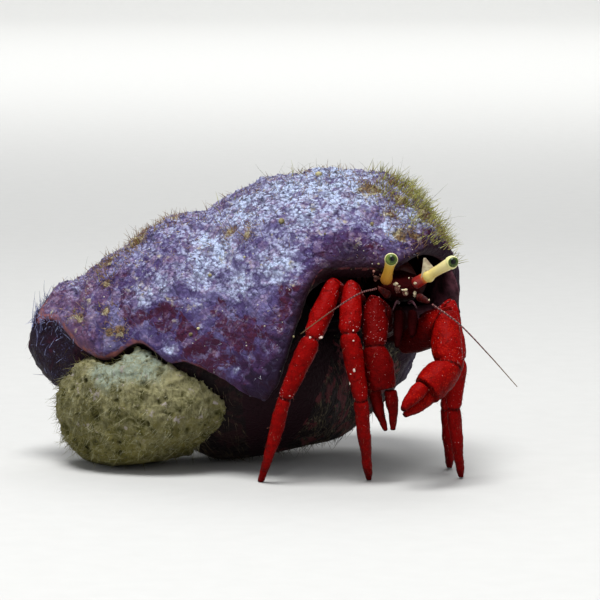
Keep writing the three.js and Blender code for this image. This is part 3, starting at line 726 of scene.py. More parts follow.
def node_copies(frame: dict, nodes: Sequence[str], name: str) -> Object:
    """Copies solids of the frame into one object in millimetres, with their doubles merged.

    Args:
        nodes: the solids' names.
        name: the new object's name.

    Returns:
        The joined copy.
    """
    copies = []
    for node in nodes:
        copy = frame["nodes"][node].copy()
        copy.data = copy.data.copy()
        copy.parent = None
        copy.matrix_world.identity()
        bpy.context.scene.collection.objects.link(copy)
        copies.append(copy)
    piece = join(copies, name)
    piece.data.materials.clear()
    only(piece)
    bpy.ops.object.mode_set(mode="EDIT")
    bpy.ops.mesh.select_all(action="SELECT")
    bpy.ops.mesh.customdata_custom_splitnormals_clear()
    bpy.ops.transform.resize(value=(1 / MM,) * 3, center_override=(0, 0, 0))
    bpy.ops.mesh.remove_doubles(threshold=1e-3)
    bpy.ops.object.mode_set(mode="OBJECT")
    return piece


def finish_piece(piece: Object, material: bpy.types.Material, nodes: Sequence[str] = ()) -> None:
    """Turns a piece to metres, dresses it and ties it to the model.

    Args:
        piece: the piece in millimetres.
        material: its finish.
        nodes: the solids that it stands for.
    """
    only(piece)
    set_points(piece, points_of(piece) * MM)
    bpy.ops.object.shade_smooth()
    piece.data.materials.clear()
    piece.data.materials.append(material)
    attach(piece, "root")
    if nodes:
        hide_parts(*nodes)
    LOG.info("%s: %d faces", piece.name, len(piece.data.polygons))


def ball(place: Array, radius: float, detail: int = 2) -> Object:
    """A small ball at a place in millimetres."""
    bpy.ops.object.select_all(action="DESELECT")
    bpy.ops.mesh.primitive_ico_sphere_add(subdivisions=detail, radius=radius, location=tuple(place))
    piece = bpy.context.object
    bpy.ops.object.transform_apply(location=True, rotation=True, scale=True)
    return piece


def turned(name: str, profile: Sequence[tuple[float, float]], start: Array, end: Array, sides: int = 20) -> Object:
    """A round piece extruded ring by ring along a straight line.

    Args:
        name: the piece's name.
        profile: for each ring its share of the way from start to end, and its radius.
        start: the foot of the line in millimetres.
        end: the head of the line.
        sides: how many sides a ring has.

    Returns:
        The closed piece with rounded ends.
    """
    way = Vector(tuple(end - start))
    length = way.length
    bpy.ops.object.select_all(action="DESELECT")
    first = profile[0]
    bpy.ops.mesh.primitive_circle_add(vertices=sides, radius=first[1], fill_type="NGON",
                                      location=(0, 0, first[0] * length))
    piece = bpy.context.object
    bpy.ops.object.transform_apply(location=True, rotation=False, scale=False)
    bpy.ops.object.mode_set(mode="EDIT")
    bpy.ops.mesh.select_all(action="SELECT")
    for (low, narrow), (high, wide) in zip(profile, profile[1:]):
        move = {"value": (0, 0, (high - low) * length)}
        bpy.ops.mesh.extrude_region_move(TRANSFORM_OT_translate=move)
        ratio = wide / narrow
        bpy.ops.transform.resize(value=(ratio, ratio, 1), center_override=(0, 0, high * length))
    bpy.ops.mesh.select_all(action="SELECT")
    bpy.ops.mesh.normals_make_consistent(inside=False)
    bpy.ops.object.mode_set(mode="OBJECT")
    piece.rotation_mode = "QUATERNION"
    piece.rotation_quaternion = Vector((0, 0, 1)).rotation_difference(way)
    piece.location = tuple(start)
    bpy.ops.object.transform_apply(location=True, rotation=True, scale=True)
    piece.name = piece.data.name = name
    modify(piece, "SUBSURF", levels=2, render_levels=2)
    return piece


def rod(name: str, places: Array, radii: Array, rounds: int = 2) -> Object:
    """A round rod along a smooth path, as a curve turned into a mesh.

    Args:
        name: the rod's name.
        places: the path's points in millimetres.
        radii: its radius at each of them.
        rounds: how finely its section is rounded.

    Returns:
        The rod as a closed mesh.
    """
    bpy.ops.object.select_all(action="DESELECT")
    bpy.ops.curve.primitive_nurbs_path_add()
    piece = bpy.context.object
    curve = piece.data
    curve.splines.clear()
    spline = curve.splines.new("POLY")
    spline.points.add(len(places) - 1)
    for point, place, radius in zip(spline.points, places, radii):
        point.co = (*place, 1.0)
        point.radius = radius
    curve.dimensions = "3D"
    curve.bevel_depth = 1.0
    curve.bevel_resolution = rounds
    curve.use_fill_caps = True
    bpy.ops.object.convert(target="MESH")
    piece = bpy.context.object
    piece.name = piece.data.name = name
    only(piece)
    bpy.ops.object.mode_set(mode="EDIT")
    bpy.ops.mesh.select_all(action="SELECT")
    bpy.ops.mesh.remove_doubles(threshold=1e-3)
    bpy.ops.mesh.normals_make_consistent(inside=False)
    bpy.ops.object.mode_set(mode="OBJECT")
    return piece


def path(stops: Sequence[Point], count: int) -> Array:
    """Evenly spaced points on a smooth curve through a few stops of the animal's frame."""
    knots = np.array(stops, dtype=float) + SHIFT
    ends = np.vstack((2 * knots[0] - knots[1], knots, 2 * knots[-1] - knots[-2]))
    fine = []
    for i in range(1, len(ends) - 2):
        a, b, c, d = ends[i - 1:i + 3]
        t = np.linspace(0, 1, 24, endpoint=False)[:, None]
        fine.append(0.5 * (2 * b + (c - a) * t + (2 * a - 5 * b + 4 * c - d) * t**2
                           + (3 * b - a - 3 * c + d) * t**3))
    dense = np.vstack((*fine, ends[-2][None]))
    run = np.concatenate(([0], np.cumsum(np.linalg.norm(np.diff(dense, axis=0), axis=1))))
    even = np.linspace(0, run[-1], count)
    return np.stack([np.interp(even, run, dense[:, axis]) for axis in range(3)], axis=1)


def reach_along(points: Array, line: Array) -> tuple[Array, Array]:
    """Where points lie along a line of places.

    Args:
        points: the points.
        line: the line's places.

    Returns:
        For each point its distance along the line, and which stretch of the line is nearest.
    """
    best = np.full(len(points), np.inf)
    along = np.zeros(len(points))
    stretch = np.zeros(len(points), dtype=int)
    run = 0.0
    for index, (a, b) in enumerate(zip(line, line[1:])):
        length = float(np.linalg.norm(b - a))
        share = np.clip((points - a) @ (b - a) / length**2, 0, 1)
        off = np.linalg.norm(points - a - share[:, None] * (b - a), axis=1)
        nearer = off < best
        best[nearer] = off[nearer]
        along[nearer] = run + share[nearer] * length
        stretch[nearer] = index
        run += length
    return along, stretch


def stamped(name: str, places: Array, radii: Array, detail: int = 1, squash: float = 0.0) -> Object:
    """Many small beads as one mesh, each a copy of one faceted ball.

    Args:
        name: the mesh's name.
        places: the beads' middles in millimetres.
        radii: their radii.
        detail: how finely the ball is divided.
        squash: how unlike each other a bead's three half-axes may be, from 0 to 1.

    Returns:
        The joined beads.
    """
    seed = ball(np.zeros(3), 1.0, detail)
    shape = points_of(seed)
    faces = np.array([polygon.vertices[:] for polygon in seed.data.polygons])
    bpy.data.objects.remove(seed, do_unlink=True)
    chance = np.random.default_rng(len(places))
    axes = radii[:, None] * (1 - squash * chance.uniform(0, 1, (len(places), 3)))
    corners = (places[:, None, :] + shape[None] * axes[:, None, :]).reshape(-1, 3)
    steps = (np.arange(len(places)) * len(shape))[:, None, None]
    mesh = bpy.data.meshes.new(name)
    mesh.from_pydata(corners.tolist(), [], (faces[None] + steps).reshape(-1, 3).tolist())
    piece = bpy.data.objects.new(name, mesh)
    bpy.context.scene.collection.objects.link(piece)
    return piece


@dataclass
class Tufts:
    """Fine strands grown on a surface: each a thin bent blade of its own, all in one mesh."""

    name: str
    length: tuple[float, float]
    width: float
    lean: Point
    lift: float = 1.0
    stray: float = 0.5
    curl: float = 0.5
    rings: int = 4

    def build(self, roots: Array, outward: Array, spots: Array, rng: np.random.Generator) -> Object:
        """Grows a strand from each root.

        Args:
            roots: where the strands start, in millimetres.
            outward: the surface's directions there.
            spots: the roots' places on an unwrap of the surface, from 0 to 1.
            rng: the source of chance.

        Returns:
            The strands as one mesh, with an unwrap laid out from the roots' spots.
        """
        count = len(roots)
        lean = np.array(self.lean) - outward * (outward @ np.array(self.lean))[:, None]
        way = outward * self.lift + lean + rng.normal(0, self.stray, (count, 3)) * (0.35 + 0.65 * min(self.lift, 1))
        way /= np.linalg.norm(way, axis=1, keepdims=True)
        bend = rng.normal(0, self.curl, (count, 3))
        bend -= outward * (bend * outward).sum(1)[:, None] * (1 - min(self.lift, 1))
        long = self.room(roots, way + bend * 0.5, rng.uniform(*self.length, count))[:, None]
        side = np.cross(way, rng.normal(0, 1, (count, 3)))
        side /= np.linalg.norm(side, axis=1, keepdims=True)
        other = np.cross(way, side)
        corners = []
        for ring in range(self.rings):
            share = ring / (self.rings - 1)
            middle = roots + long * (way * share + bend * share**2 * 0.5) - outward * 0.08 * (ring == 0)
            half = self.width * (1 - 0.82 * share)
            for turn in range(3):
                angle = math.tau * turn / 3
                corners.append(middle + half * (math.cos(angle) * side + math.sin(angle) * other))
        cloud = np.stack(corners, axis=1).reshape(-1, 3)
        faces, patch = [], []
        for ring in range(self.rings - 1):
            for turn in range(3):
                a, b = ring * 3 + turn, ring * 3 + (turn + 1) % 3
                faces.append((a, b, b + 3, a + 3))
                patch += [(turn, ring), (turn + 1, ring), (turn + 1, ring + 1), (turn, ring + 1)]
        faces = np.array(faces)
        all_faces = (faces[None] + (np.arange(count) * self.rings * 3)[:, None, None]).reshape(-1, 4)
        cloud[:, 2] = np.maximum(cloud[:, 2], 0.02)
        mesh = bpy.data.meshes.new(self.name)
        mesh.from_pydata(cloud.tolist(), [], all_faces.tolist())
        layer = mesh.uv_layers.new(name="OFBake")
        small = np.array(patch) / np.array((3.0, self.rings - 1)) * 0.003
        layer.data.foreach_set("uv", (spots[:, None, :] + small[None]).astype(np.float32).ravel())
        piece = bpy.data.objects.new(self.name, mesh)
        bpy.context.scene.collection.objects.link(piece)
        return piece

    def room(self, roots: Array, way: Array, long: Array) -> Array:
        """Shortens the strands that would grow out of the model's own box.

        Args:
            roots: where the strands start.
            way: where each strand's end lies from its root, for a strand of length 1.
            long: the strands' lengths.

        Returns:
            The lengths that fit.
        """
        for axis, (low, high) in enumerate(LIMITS):
            step = way[:, axis] * long
            left = np.where(step > 0, high - roots[:, axis], low - roots[:, axis])
            share = np.where(np.abs(step) > 1e-6, left / np.where(np.abs(step) > 1e-6, step, 1), 1)
            long = long * np.clip(share, 0.05, 1)
        return long


# ------------------------------------------------------------------ the shell


@dataclass(frozen=True)
class Coil:
    """The shell's coil, as the solids are built on it."""

    tip: Point = (-32.0, 4.0, 11.6)
    mouth: Point = (3.0, 3.0, 13.55)
    growth: float = 1.45
    suture_at: float = 27.4
    shoulder_at: float = 35.5
    end_at: float = 52.3
    suture_radius: float = 12.4
    shoulder_radius: float = 17.6
    hold: float = 0.5
    hold_from: float = 0.28
    hold_full: float = 0.5

    def axes(self) -> tuple[Array, Array, Array]:
        """The directions along the coil's axis, up from it and to the front of it."""
        axis = np.array(self.mouth) - np.array(self.tip)
        axis /= np.linalg.norm(axis)
        up = np.array((0.0, 0.0, 1.0)) - axis * axis[2]
        up /= np.linalg.norm(up)
        return axis, up, np.cross(axis, up)

    def place(self, points: Array) -> tuple[Array, Array, Array]:
        """Each point's distance along the axis, its radius and its angle from the top in degrees."""
        axis, up, front = self.axes()
        away = points - SHIFT - np.array(self.tip)
        rise, reach = away @ up, away @ front
        return away @ axis, np.hypot(rise, reach), np.degrees(np.arctan2(reach, rise))

    def lip_angle(self, along: Array) -> Array:
        """The angle of the mouth's lip, or of the crust's lower rim on the spire."""
        lip = 63 - 21 * smooth((along - 45) / (self.end_at - 45))
        wave = 6 * np.cos((along - 14.7) / 7.8 * math.tau) * smooth((24 - along) / 2.6)
        rim = 91 + wave + 18 * smooth((along - 21) / 10.2) - 50 * (1 - smooth((along - 7.5) / 5))
        return rim + (lip - rim) * smooth((along - 31.2) / 7.4)

    def whorl_radius(self, along: Array) -> Array:
        """The last turn's outer radius at a distance along the axis."""
        rise = np.clip((self.shoulder_at - along) / (self.shoulder_at - self.suture_at), 0, 1)
        front = self.suture_radius + (self.shoulder_radius - self.suture_radius) * np.cos(rise * math.pi / 2)
        reach = np.clip((along - self.shoulder_at) / (self.end_at - self.shoulder_at), 0, 1)
        rear = self.shoulder_radius * (1 - reach**3) ** (1 / 3)
        radius = np.where(along < self.shoulder_at, front, rear)
        return np.where((along < self.suture_at) | (along >= self.end_at), 0.0, radius)

    def outer_radius(self, along: Array, turn: Array) -> Array:
        """The bare shell's outer radius at a share of the last turn."""
        radius = np.zeros_like(along)
        for whorl in range(6):
            scale = self.growth ** (turn - whorl - 1)
            held = 1 - self.hold * smooth((turn - whorl - self.hold_from) / (self.hold_full - self.hold_from))
            radius = np.maximum(radius, scale * self.whorl_radius(along / scale**held))
        return radius


@dataclass(frozen=True)
class Marks:
    """Round places of one kind on the shell: where each lies, in the animal's frame, and its radius."""

    places: tuple[tuple[float, float, float, float], ...]

    def cover(self, points: Array) -> Array:
        """How strongly the marks cover each point, from 0 to 1."""
        cover = np.zeros(len(points))
        for *place, size in self.places:
            off = ((points - SHIFT - np.array(place)) ** 2).sum(1)
            cover = np.maximum(cover, np.exp(-off / size**2))
        return cover


RED = Marks(((-14.5, -5.9, 17.4, 1.6), (-13.9, -6.3, 16.5, 1.2), (-15.1, -5.4, 18.3, 1.1), (-10.6, -8.8, 17.0, 1.8),
             (-11.6, -8.3, 16.5, 1.3), (-8.8, -9.9, 15.3, 1.4), (-6.7, -10.5, 13.2, 2.0), (-7.9, -10.2, 13.2, 1.4),
             (-4.0, -11.4, 14.8, 2.1), (-2.4, -12.0, 15.2, 1.7), (-9.7, -7.1, 21.1, 1.3), (-10.5, -5.3, 22.4, 1.2),
             (-15.4, -2.8, 20.4, 1.1), (-19.6, -1.6, 18.8, 1.0), (0.2, -0.1, 29.7, 1.3), (-4.3, -1.0, 27.8, 1.5),
             (17.2, -5.8, 24.1, 2.2), (18.4, -3.5, 22.0, 2.6), (-5.5, -10.4, 17.6, 1.0), (2.4, -13.6, 18.6, 1.6),
             (-12.4, 6.5, 22.6, 2.2), (-3.0, 11.5, 22.4, 3.0), (6.5, 15.0, 19.5, 3.2), (-8.0, 9.0, 15.0, 2.4),
             (12.0, 13.0, 12.0, 3.0)))
STAIN = Marks(((10.3, -4.8, 29.1, 1.9), (12.9, -0.7, 29.7, 1.7), (13.3, -4.6, 28.2, 1.5), (15.9, -4.0, 26.6, 1.8),
               (17.5, -3.0, 24.7, 1.5), (13.2, -9.4, 25.0, 1.2), (12.2, -7.7, 26.9, 1.1), (-17.0, -2.7, 19.4, 0.8),
               (-20.1, -2.8, 15.7, 0.8), (-15.7, -6.1, 14.7, 1.1), (-16.8, -5.5, 14.6, 0.8), (-17.1, -4.6, 16.6, 0.8),
               (-4.3, -5.9, 25.0, 1.0), (-13.9, 0.9, 23.5, 1.9), (-17.5, 0.8, 21.5, 1.7), (-10.5, 1.4, 25.0, 1.5),
               (2.0, 7.0, 28.0, 2.2), (10.0, 9.0, 26.0, 2.6), (-6.0, 8.0, 23.0, 1.6), (14.7, -8.4, 24.9, 1.2),
               (-2.0, -7.5, 24.6, 1.2)))
FROST = Marks(((0.6, -12.1, 22.0, 2.1), (2.2, -11.8, 21.6, 1.4), (4.7, -1.4, 30.5, 5.0), (2.9, -3.4, 29.6, 4.0),
               (-2.0, -4.0, 27.0, 3.6), (7.5, -5.0, 28.5, 3.4), (-13.3, -6.4, 18.2, 1.3), (-10.4, -9.5, 13.1, 0.8),
               (-3.6, -11.5, 11.5, 0.8), (-0.9, -13.1, 9.5, 0.7), (3.5, -8.6, 26.4, 2.4), (12.4, -9.0, 25.6, 1.4),
               (-7.0, -5.5, 24.2, 2.4), (-20.6, -0.2, 19.0, 1.0), (-7.4, -7.4, 21.2, 2.2), (-3.2, -10.7, 20.0, 1.8),
               (-5.3, -7.1, 22.7, 2.0), (-11.0, -6.8, 19.6, 1.4),
               (14.5, -6.5, 26.2, 1.8), (16.4, -4.9, 25.6, 1.5)))
# places of painted shade round the mouth and under the shell's sides
PAINTED_SHADE_MARKS = Marks(((14.3, 5.6, 10.4, 4.5), (1.8, -14.6, 14.5, 4.0), (2.4, -13.6, 18.6, 2.6), (-1.2, -13.0, 10.5, 2.4), (8.0, -11.2, 23.6, 2.4),
              (18.6, -4.0, 20.5, 3.4), (16.6, -6.6, 23.2, 2.4)))
# where light falls on the mouth's inner side
LIT_WALL_MARKS = Marks(((18.1, -1.5, 19.5, 2.8), (17.7, 1.7, 17.1, 2.8), (18.8, -3.3, 20.8, 2.2), (18.6, -2.0, 15.5, 2.8)))
SWELLS = ((-4.3, -0.6, 28.0, 1.5, 0.8), (-12.2, -0.4, 24.0, 1.6, 0.35), (2.2, -12.0, 21.4, 1.8, 0.3))
KNOBS = ((4.7, -1.4, 30.6, 0.42), (0.9, -8.9, 26.1, 0.36), (10.3, -9.4, 26.2, 0.26), (-20.9, -2.2, 16.6, 0.16),
         (-8.2, -10.1, 14.9, 0.22), (-7.4, -10.3, 15.5, 0.2), (10.9, -12.6, 22.3, 0.14), (5.4, -11.2, 25.1, 0.16),
         (-6.4, -8.4, 21.0, 0.2), (2.3, -15.0, 15.2, 0.13), (-2.6, -9.7, 22.6, 0.16), (14.2, -8.0, 25.7, 0.22))


@dataclass
class Shell:
    """The snail shell with its crust, its turf and the threads and specks on it."""

    grain: float = 0.3
    top: float = 31.9
    coil: Coil = field(default_factory=Coil)
    finish: CrustFinish = field(default_factory=CrustFinish)

    def fields(self, points: Array, normals: Array) -> dict[str, Array]:
        """Works out, for each point, where it lies on the shell.

        Args:
            points: the points in millimetres.
            normals: the surface's outward directions there.

        Returns:
            The fields that the crust's finish reads, and the angle round the coil.
        """
        along, radius, angle = self.coil.place(points)
        lip = self.coil.lip_angle(along)
        behind = np.mod(lip - angle, 360.0)
        outer = self.coil.outer_radius(along, 1 - behind / 360)
        arc = radius * np.radians(np.minimum(behind, 360 - behind))
        past = behind > 300
        front_edge = np.where(past, -arc, arc)
        back_edge = radius * np.radians(208 - behind)
        crust = np.minimum(front_edge, np.where(past, front_edge, back_edge))
        crust = np.minimum(crust, along - 8.2 + 0.7 * np.sin(angle / 21))
        depth = np.where(past, np.minimum(arc, outer - radius), outer - radius) - 0.9
        depth = np.where(past & (arc > 0.12), np.maximum(depth, 0.45), depth)
        depth = np.where((along > 29) & (along < 52.5), depth, -1.0)
        sky = np.clip(normals[:, 2] * 0.75 + 0.25, 0, 1)
        # painted shade: strongest on faces that look down, near the crust's edge by the mouth and at the shade marks
        near = smooth((5.5 - crust) / 5.5) * smooth((along - 28) / 4)
        painted_shade = smooth((0.42 - sky) / 0.42) * 0.5 + near * 0.65 + PAINTED_SHADE_MARKS.cover(points) * 0.7
        return {"crust": np.clip(crust, -6, 12), "depth": np.clip(depth, -2, 12), "along": along, "sky": sky,
                "red": RED.cover(points), "stain": STAIN.cover(points), "painted_shade": np.clip(painted_shade, 0, 1),
                "frost": FROST.cover(points), "lit_wall": LIT_WALL_MARKS.cover(points), "angle": angle}

    def build(self, frame: dict, rng: np.random.Generator) -> None:
        """Makes the skin and all that grows on it.

        Args:
            rng: the source of chance.
        """
        skin = node_copies(frame, ["shell"], "shell_skin")
        modify(skin, "REMESH", mode="VOXEL", voxel_size=self.grain)
        modify(skin, "SMOOTH", factor=0.5, iterations=26)
        known = self.fields(points_of(skin), normals_of(skin))
        outside = smooth((0.6 - known["depth"]) / 1.2)
        crusted = smooth(known["crust"] / 1.5) * outside
        floor = smooth((points_of(skin)[:, 2] - 0.6) / 2.0)
        carved(skin, 5.0, 0.9, weights=crusted * floor)
        carved(skin, 2.0, 0.8, weights=crusted * floor)
        carved(skin, 1.0, 0.42, weights=(0.3 + 0.7 * known["sky"]) * crusted * floor)
        carved(skin, 1.6, 0.30, "VORONOI", weights=crusted * floor)
        carved(skin, 1.1, 0.35, weights=(1 - crusted) * outside * floor)
        places, normals = points_of(skin), normals_of(skin)
        for *middle, size, height in SWELLS:
            off = ((places - SHIFT - np.array(middle)) ** 2).sum(1)
            places = places + normals * (height * np.exp(-off / size**2))[:, None]
        high = places[:, 2] > self.top - 0.6
        places[high, 2] = self.top - 0.6 * np.exp(-(places[high, 2] - self.top + 0.6) / 0.6)
        places[:, 2] = np.maximum(places[:, 2], 0.0)
        set_points(skin, places)
        points, normals = points_of(skin), normals_of(skin)
        known = self.fields(points, normals)
        self.keep_fields(skin, known)
        material = self.finish.make()
        self.pebble(points, normals, known, material, rng)
        self.grow(points, normals, known, rng)
        finish_piece(skin, material, ["shell"])

    def keep_fields(self, piece: Object, known: dict[str, Array]) -> None:
        """Keeps on a piece the fields that the crust's finish reads."""
        for name in CRUST_FIELDS:
            keep(piece, name, known[name])

    def pebble(self, points: Array, normals: Array, known: dict[str, Array], material: bpy.types.Material,
               rng: np.random.Generator) -> None:
        """Covers the upper crust with small stony grains of its own colours.

        Args:
            points: the skin's points in millimetres.
            normals: their outward directions.
            known: the skin's fields.
            material: the crust's finish.
            rng: the source of chance.
        """
        open_crust = (known["crust"] > 0.8) & (known["depth"] < 0)
        weights = (known["sky"] ** 2 + known["frost"] * 0.8 + known["stain"] * 0.5 + 0.05) * open_crust
        weights *= 1 - 0.7 * known["painted_shade"]
        chosen = rng.choice(len(points), 5600, replace=False, p=weights / weights.sum())
        sizes = rng.uniform(0.09, 0.26, len(chosen)) * (1 + 0.5 * (rng.random(len(chosen)) > 0.9))
        grains = stamped("crust_grains", points[chosen] - normals[chosen] * (sizes * 0.25)[:, None], sizes, 1, 0.45)
        each = len(points_of(grains)) // len(chosen)
        self.keep_fields(grains, {name: np.repeat(values[chosen], each) for name, values in known.items()})
        places = points_of(grains)
        places[:, 2] = np.minimum(places[:, 2], self.top + 0.1)
        set_points(grains, places)
        finish_piece(grains, material)

    def grow(self, points: Array, normals: Array, known: dict[str, Array], rng: np.random.Generator) -> None:
        """Scatters the turf, the threads, the specks and the knobs.

        Args:
            points: the skin's points in millimetres.
            normals: their outward directions.
            known: the skin's fields.
            rng: the source of chance.
        """
        crust, sky, stain, along = (known[name] for name in ("crust", "sky", "stain", "along"))
        spots = np.stack((np.mod(known["angle"], 360) / 360, np.clip(along / 55, 0, 0.99)), axis=1)
        x, y, z = (points - SHIFT).T
        outside = known["depth"] < 0.0
        crusted = (crust > 0.3) & outside
        end = smooth((x - 9.5) / 5) * smooth((z - 19) / 6) * smooth((normals[:, 2] + 0.1) / 0.6) * smooth((y + 9) / 4)
        ridge = smooth((sky - 0.6) / 0.3)
        crest = np.exp(-(((y + 1.5) / 4.0) ** 2)) * ridge
        high = crest * smooth((x + 3) / 6)
        clump = smooth((np.sin(2.9 * x + 1.3 * z) * np.sin(2.3 * y + 1.1 * z + 0.6) + 0.25) / 0.5)
        knob = (crust < 0.1) & outside & (along < 15)
        base = (crust < -0.5) & outside & (along > 20) & (z < 12)
        olive = PlainFinish("turf_green", (0.19, 0.18, 0.04), (0.55, 0.55, 0.17), 0.8)
        brown = PlainFinish("turf_brown", (0.13, 0.06, 0.028), (0.42, 0.30, 0.15), 0.7)
        fuzz = PlainFinish("turf_fuzz", (0.20, 0.20, 0.30), (0.50, 0.52, 0.56), 0.8)
        thread = PlainFinish("turf_threads", (0.055, 0.05, 0.025), (0.16, 0.17, 0.06), 1.5)
        blue = PlainFinish("knob_threads", (0.09, 0.09, 0.21), (0.40, 0.44, 0.68), 0.9)
        dark = PlainFinish("knob_hairs", (0.025, 0.015, 0.012), (0.085, 0.065, 0.03), 1.0)
        drab = PlainFinish("base_hairs", (0.03, 0.02, 0.016), (0.19, 0.15, 0.085), 1.3)
        growths = (
            (Tufts("turf_green", (0.5, 1.7), 0.052, (0.3, -0.1, 0.4), 1.0, 0.28, 0.4),
             (end * (0.06 + clump) + 0.006 * crest) * crusted, 950, olive),
            (Tufts("turf_brown", (0.25, 0.85), 0.045, (0, 0, 0.2), 1.0, 0.6, 0.8),
             (stain**1.2 + 0.07 * crest + 0.015 * ridge) * crusted, 2400, brown),
            (Tufts("turf_fuzz", (0.12, 0.45), 0.035, (0, 0, 0.3), 1.0, 0.6, 0.6), (ridge + 0.08) * crusted, 1700, fuzz),
            (Tufts("turf_threads", (0.9, 2.5), 0.026, (0.1, -0.1, 0.2), 1.0, 0.45, 0.9, 6),
             (high + 0.5 * end + 0.005) * crusted, 110, thread),
            (Tufts("knob_threads", (0.6, 1.8), 0.06, (0.2, -0.3, 0.6), 0.04, 0.7, 0.9, 6),
             knob * (0.08 + smooth((z - 12.5) / 2.0)), 230, blue),
            (Tufts("knob_hairs", (0.4, 1.3), 0.028, (-0.2, 0, -0.8), 0.03, 0.5, 0.9, 5), knob * 1.0, 260, dark),
            (Tufts("base_hairs", (0.6, 1.8), 0.035, (0.25, -0.2, -0.9), 0.03, 0.3, 0.5, 5), base * 1.0, 1300, drab),
        )
        for tufts, weights, count, finish in growths:
            chosen = rng.choice(len(points), count, replace=False, p=weights / weights.sum())
            piece = tufts.build(points[chosen], normals[chosen], spots[chosen], rng)
            finish_piece(piece, finish.make())
        weights = (0.25 + sky) * crusted
        chosen = rng.choice(len(points), 420, replace=False, p=weights / weights.sum())
        beads = stamped("shell_specks", points[chosen] + normals[chosen] * 0.02,
                        rng.uniform(0.04, 0.13, len(chosen)) ** 1.1, 1, 0.4)
        pale = PlainFinish("specks", (0.60, 0.58, 0.52), (0.40, 0.36, 0.20), 0.6).make()
        finish_piece(beads, pale)
        middles = np.array([knob[:3] for knob in KNOBS]) + SHIFT
        nearest = [int(np.argmin(((points - middle) ** 2).sum(1))) for middle in middles]
        knobs = stamped("shell_knobs", points[nearest] + normals[nearest] * 0.1, np.array([k[3] for k in KNOBS]), 2, 0.3)
        carved(knobs, 0.3, 0.08)
        tone = PlainFinish("knobs", (0.10, 0.075, 0.03), (0.52, 0.48, 0.26), 3.0)
        finish_piece(knobs, tone.make())


@dataclass
class Sponge:
    """The lump of sponge that the shell rests on."""

    grain: float = 0.16
    pores: int = 240
    pale: tuple[tuple[float, float, float, float], ...] = ((-16.4, -7.6, 10.4, 2.8), (-13.4, -8.6, 11.6, 2.6),
                                                           (-18.0, -6.0, 8.4, 1.8))
    finish: SpongeFinish = field(default_factory=SpongeFinish)

    def pits(self, places: Array, normals: Array, rng: np.random.Generator) -> Array:
        """How deep each point lies in one of the long pores that are strewn over the sponge, from 0 to 1."""
        pore = np.zeros(len(places))
        for mouth in rng.choice(len(places), self.pores, replace=False):
            way = np.cross(normals[mouth], rng.normal(0, 1, 3))
            way /= np.linalg.norm(way)
            off = places - places[mouth]
            run = off @ way
            size = rng.uniform(0.09, 0.26) * (2.2 if rng.random() > 0.93 else 1.0)
            across = (off**2).sum(1) - run**2
            pore = np.maximum(pore, np.exp(-((run / rng.uniform(1.1, 2.2)) ** 2 + across) / size**2))
        return pore

    def build(self, frame: dict, rng: np.random.Generator) -> None:
        """Makes the porous skin and the weed at its edge.

        Args:
            rng: the source of chance.
        """
        skin = node_copies(frame, ["shell_sponge"], "sponge_skin")
        modify(skin, "REMESH", mode="VOXEL", voxel_size=self.grain)
        modify(skin, "SMOOTH", factor=0.5, iterations=24)
        floor = smooth((points_of(skin)[:, 2] - 0.3) / 1.5)
        carved(skin, 3.2, 1.0, weights=floor)
        carved(skin, 1.4, 0.7, weights=floor)
        carved(skin, 0.9, 0.4, "VORONOI", weights=floor)
        carved(skin, 0.5, 0.36, weights=floor)
        places, normals = points_of(skin), normals_of(skin)
        pore = self.pits(places, normals, rng)
        places = places - normals * (pore * 0.34 * floor)[:, None]
        places[:, 2] = np.maximum(places[:, 2], 0.0)
        set_points(skin, places)
        keep(skin, "pore", pore)
        keep(skin, "height", (places[:, 2] - 1.5) / 10.5)
        keep(skin, "mint", Marks(self.pale).cover(places))
        normals = normals_of(skin)
        x, y, z = places.T
        around = np.stack((np.arctan2(y, x + 11) / math.tau + 0.5, np.clip(z / 14, 0, 0.99)), axis=1)
        growths = (
            (Tufts("sponge_weed", (0.3, 1.1), 0.038, (-0.2, -0.1, -0.2), 0.3, 0.5, 0.9),
             smooth((-x - 12) / 8) * smooth((z - 0.6) / 2) + 0.02, 900,
             PlainFinish("sponge_weed", (0.10, 0.09, 0.02), (0.24, 0.21, 0.07), 1.0)),
            (Tufts("sponge_fibres", (0.5, 1.6), 0.035, (-0.45, -0.1, -0.5), 0.03, 0.3, 0.7),
             smooth((z - 0.6) / 2), 1900,
             PlainFinish("sponge_fibres", (0.17, 0.155, 0.055), (0.44, 0.43, 0.28), 1.4)),
        )
        for tufts, weights, count, finish in growths:
            chosen = rng.choice(len(places), count, replace=False, p=weights / weights.sum())
            piece = tufts.build(places[chosen], normals[chosen], around[chosen], rng)
            finish_piece(piece, finish.make())
        finish_piece(skin, self.finish.make(), ["shell_sponge"])


# ------------------------------------------------------------------ the animal


def painted_light(normals: Array) -> Array:
    """How far a surface looks up and outwards to the front, from 0 to 1: where the armour gets its painted light, with
    painted shade elsewhere.
    """
    return np.clip(0.5 + 0.5 * (normals @ np.array((0.1, -0.72, 0.62))), 0, 1)


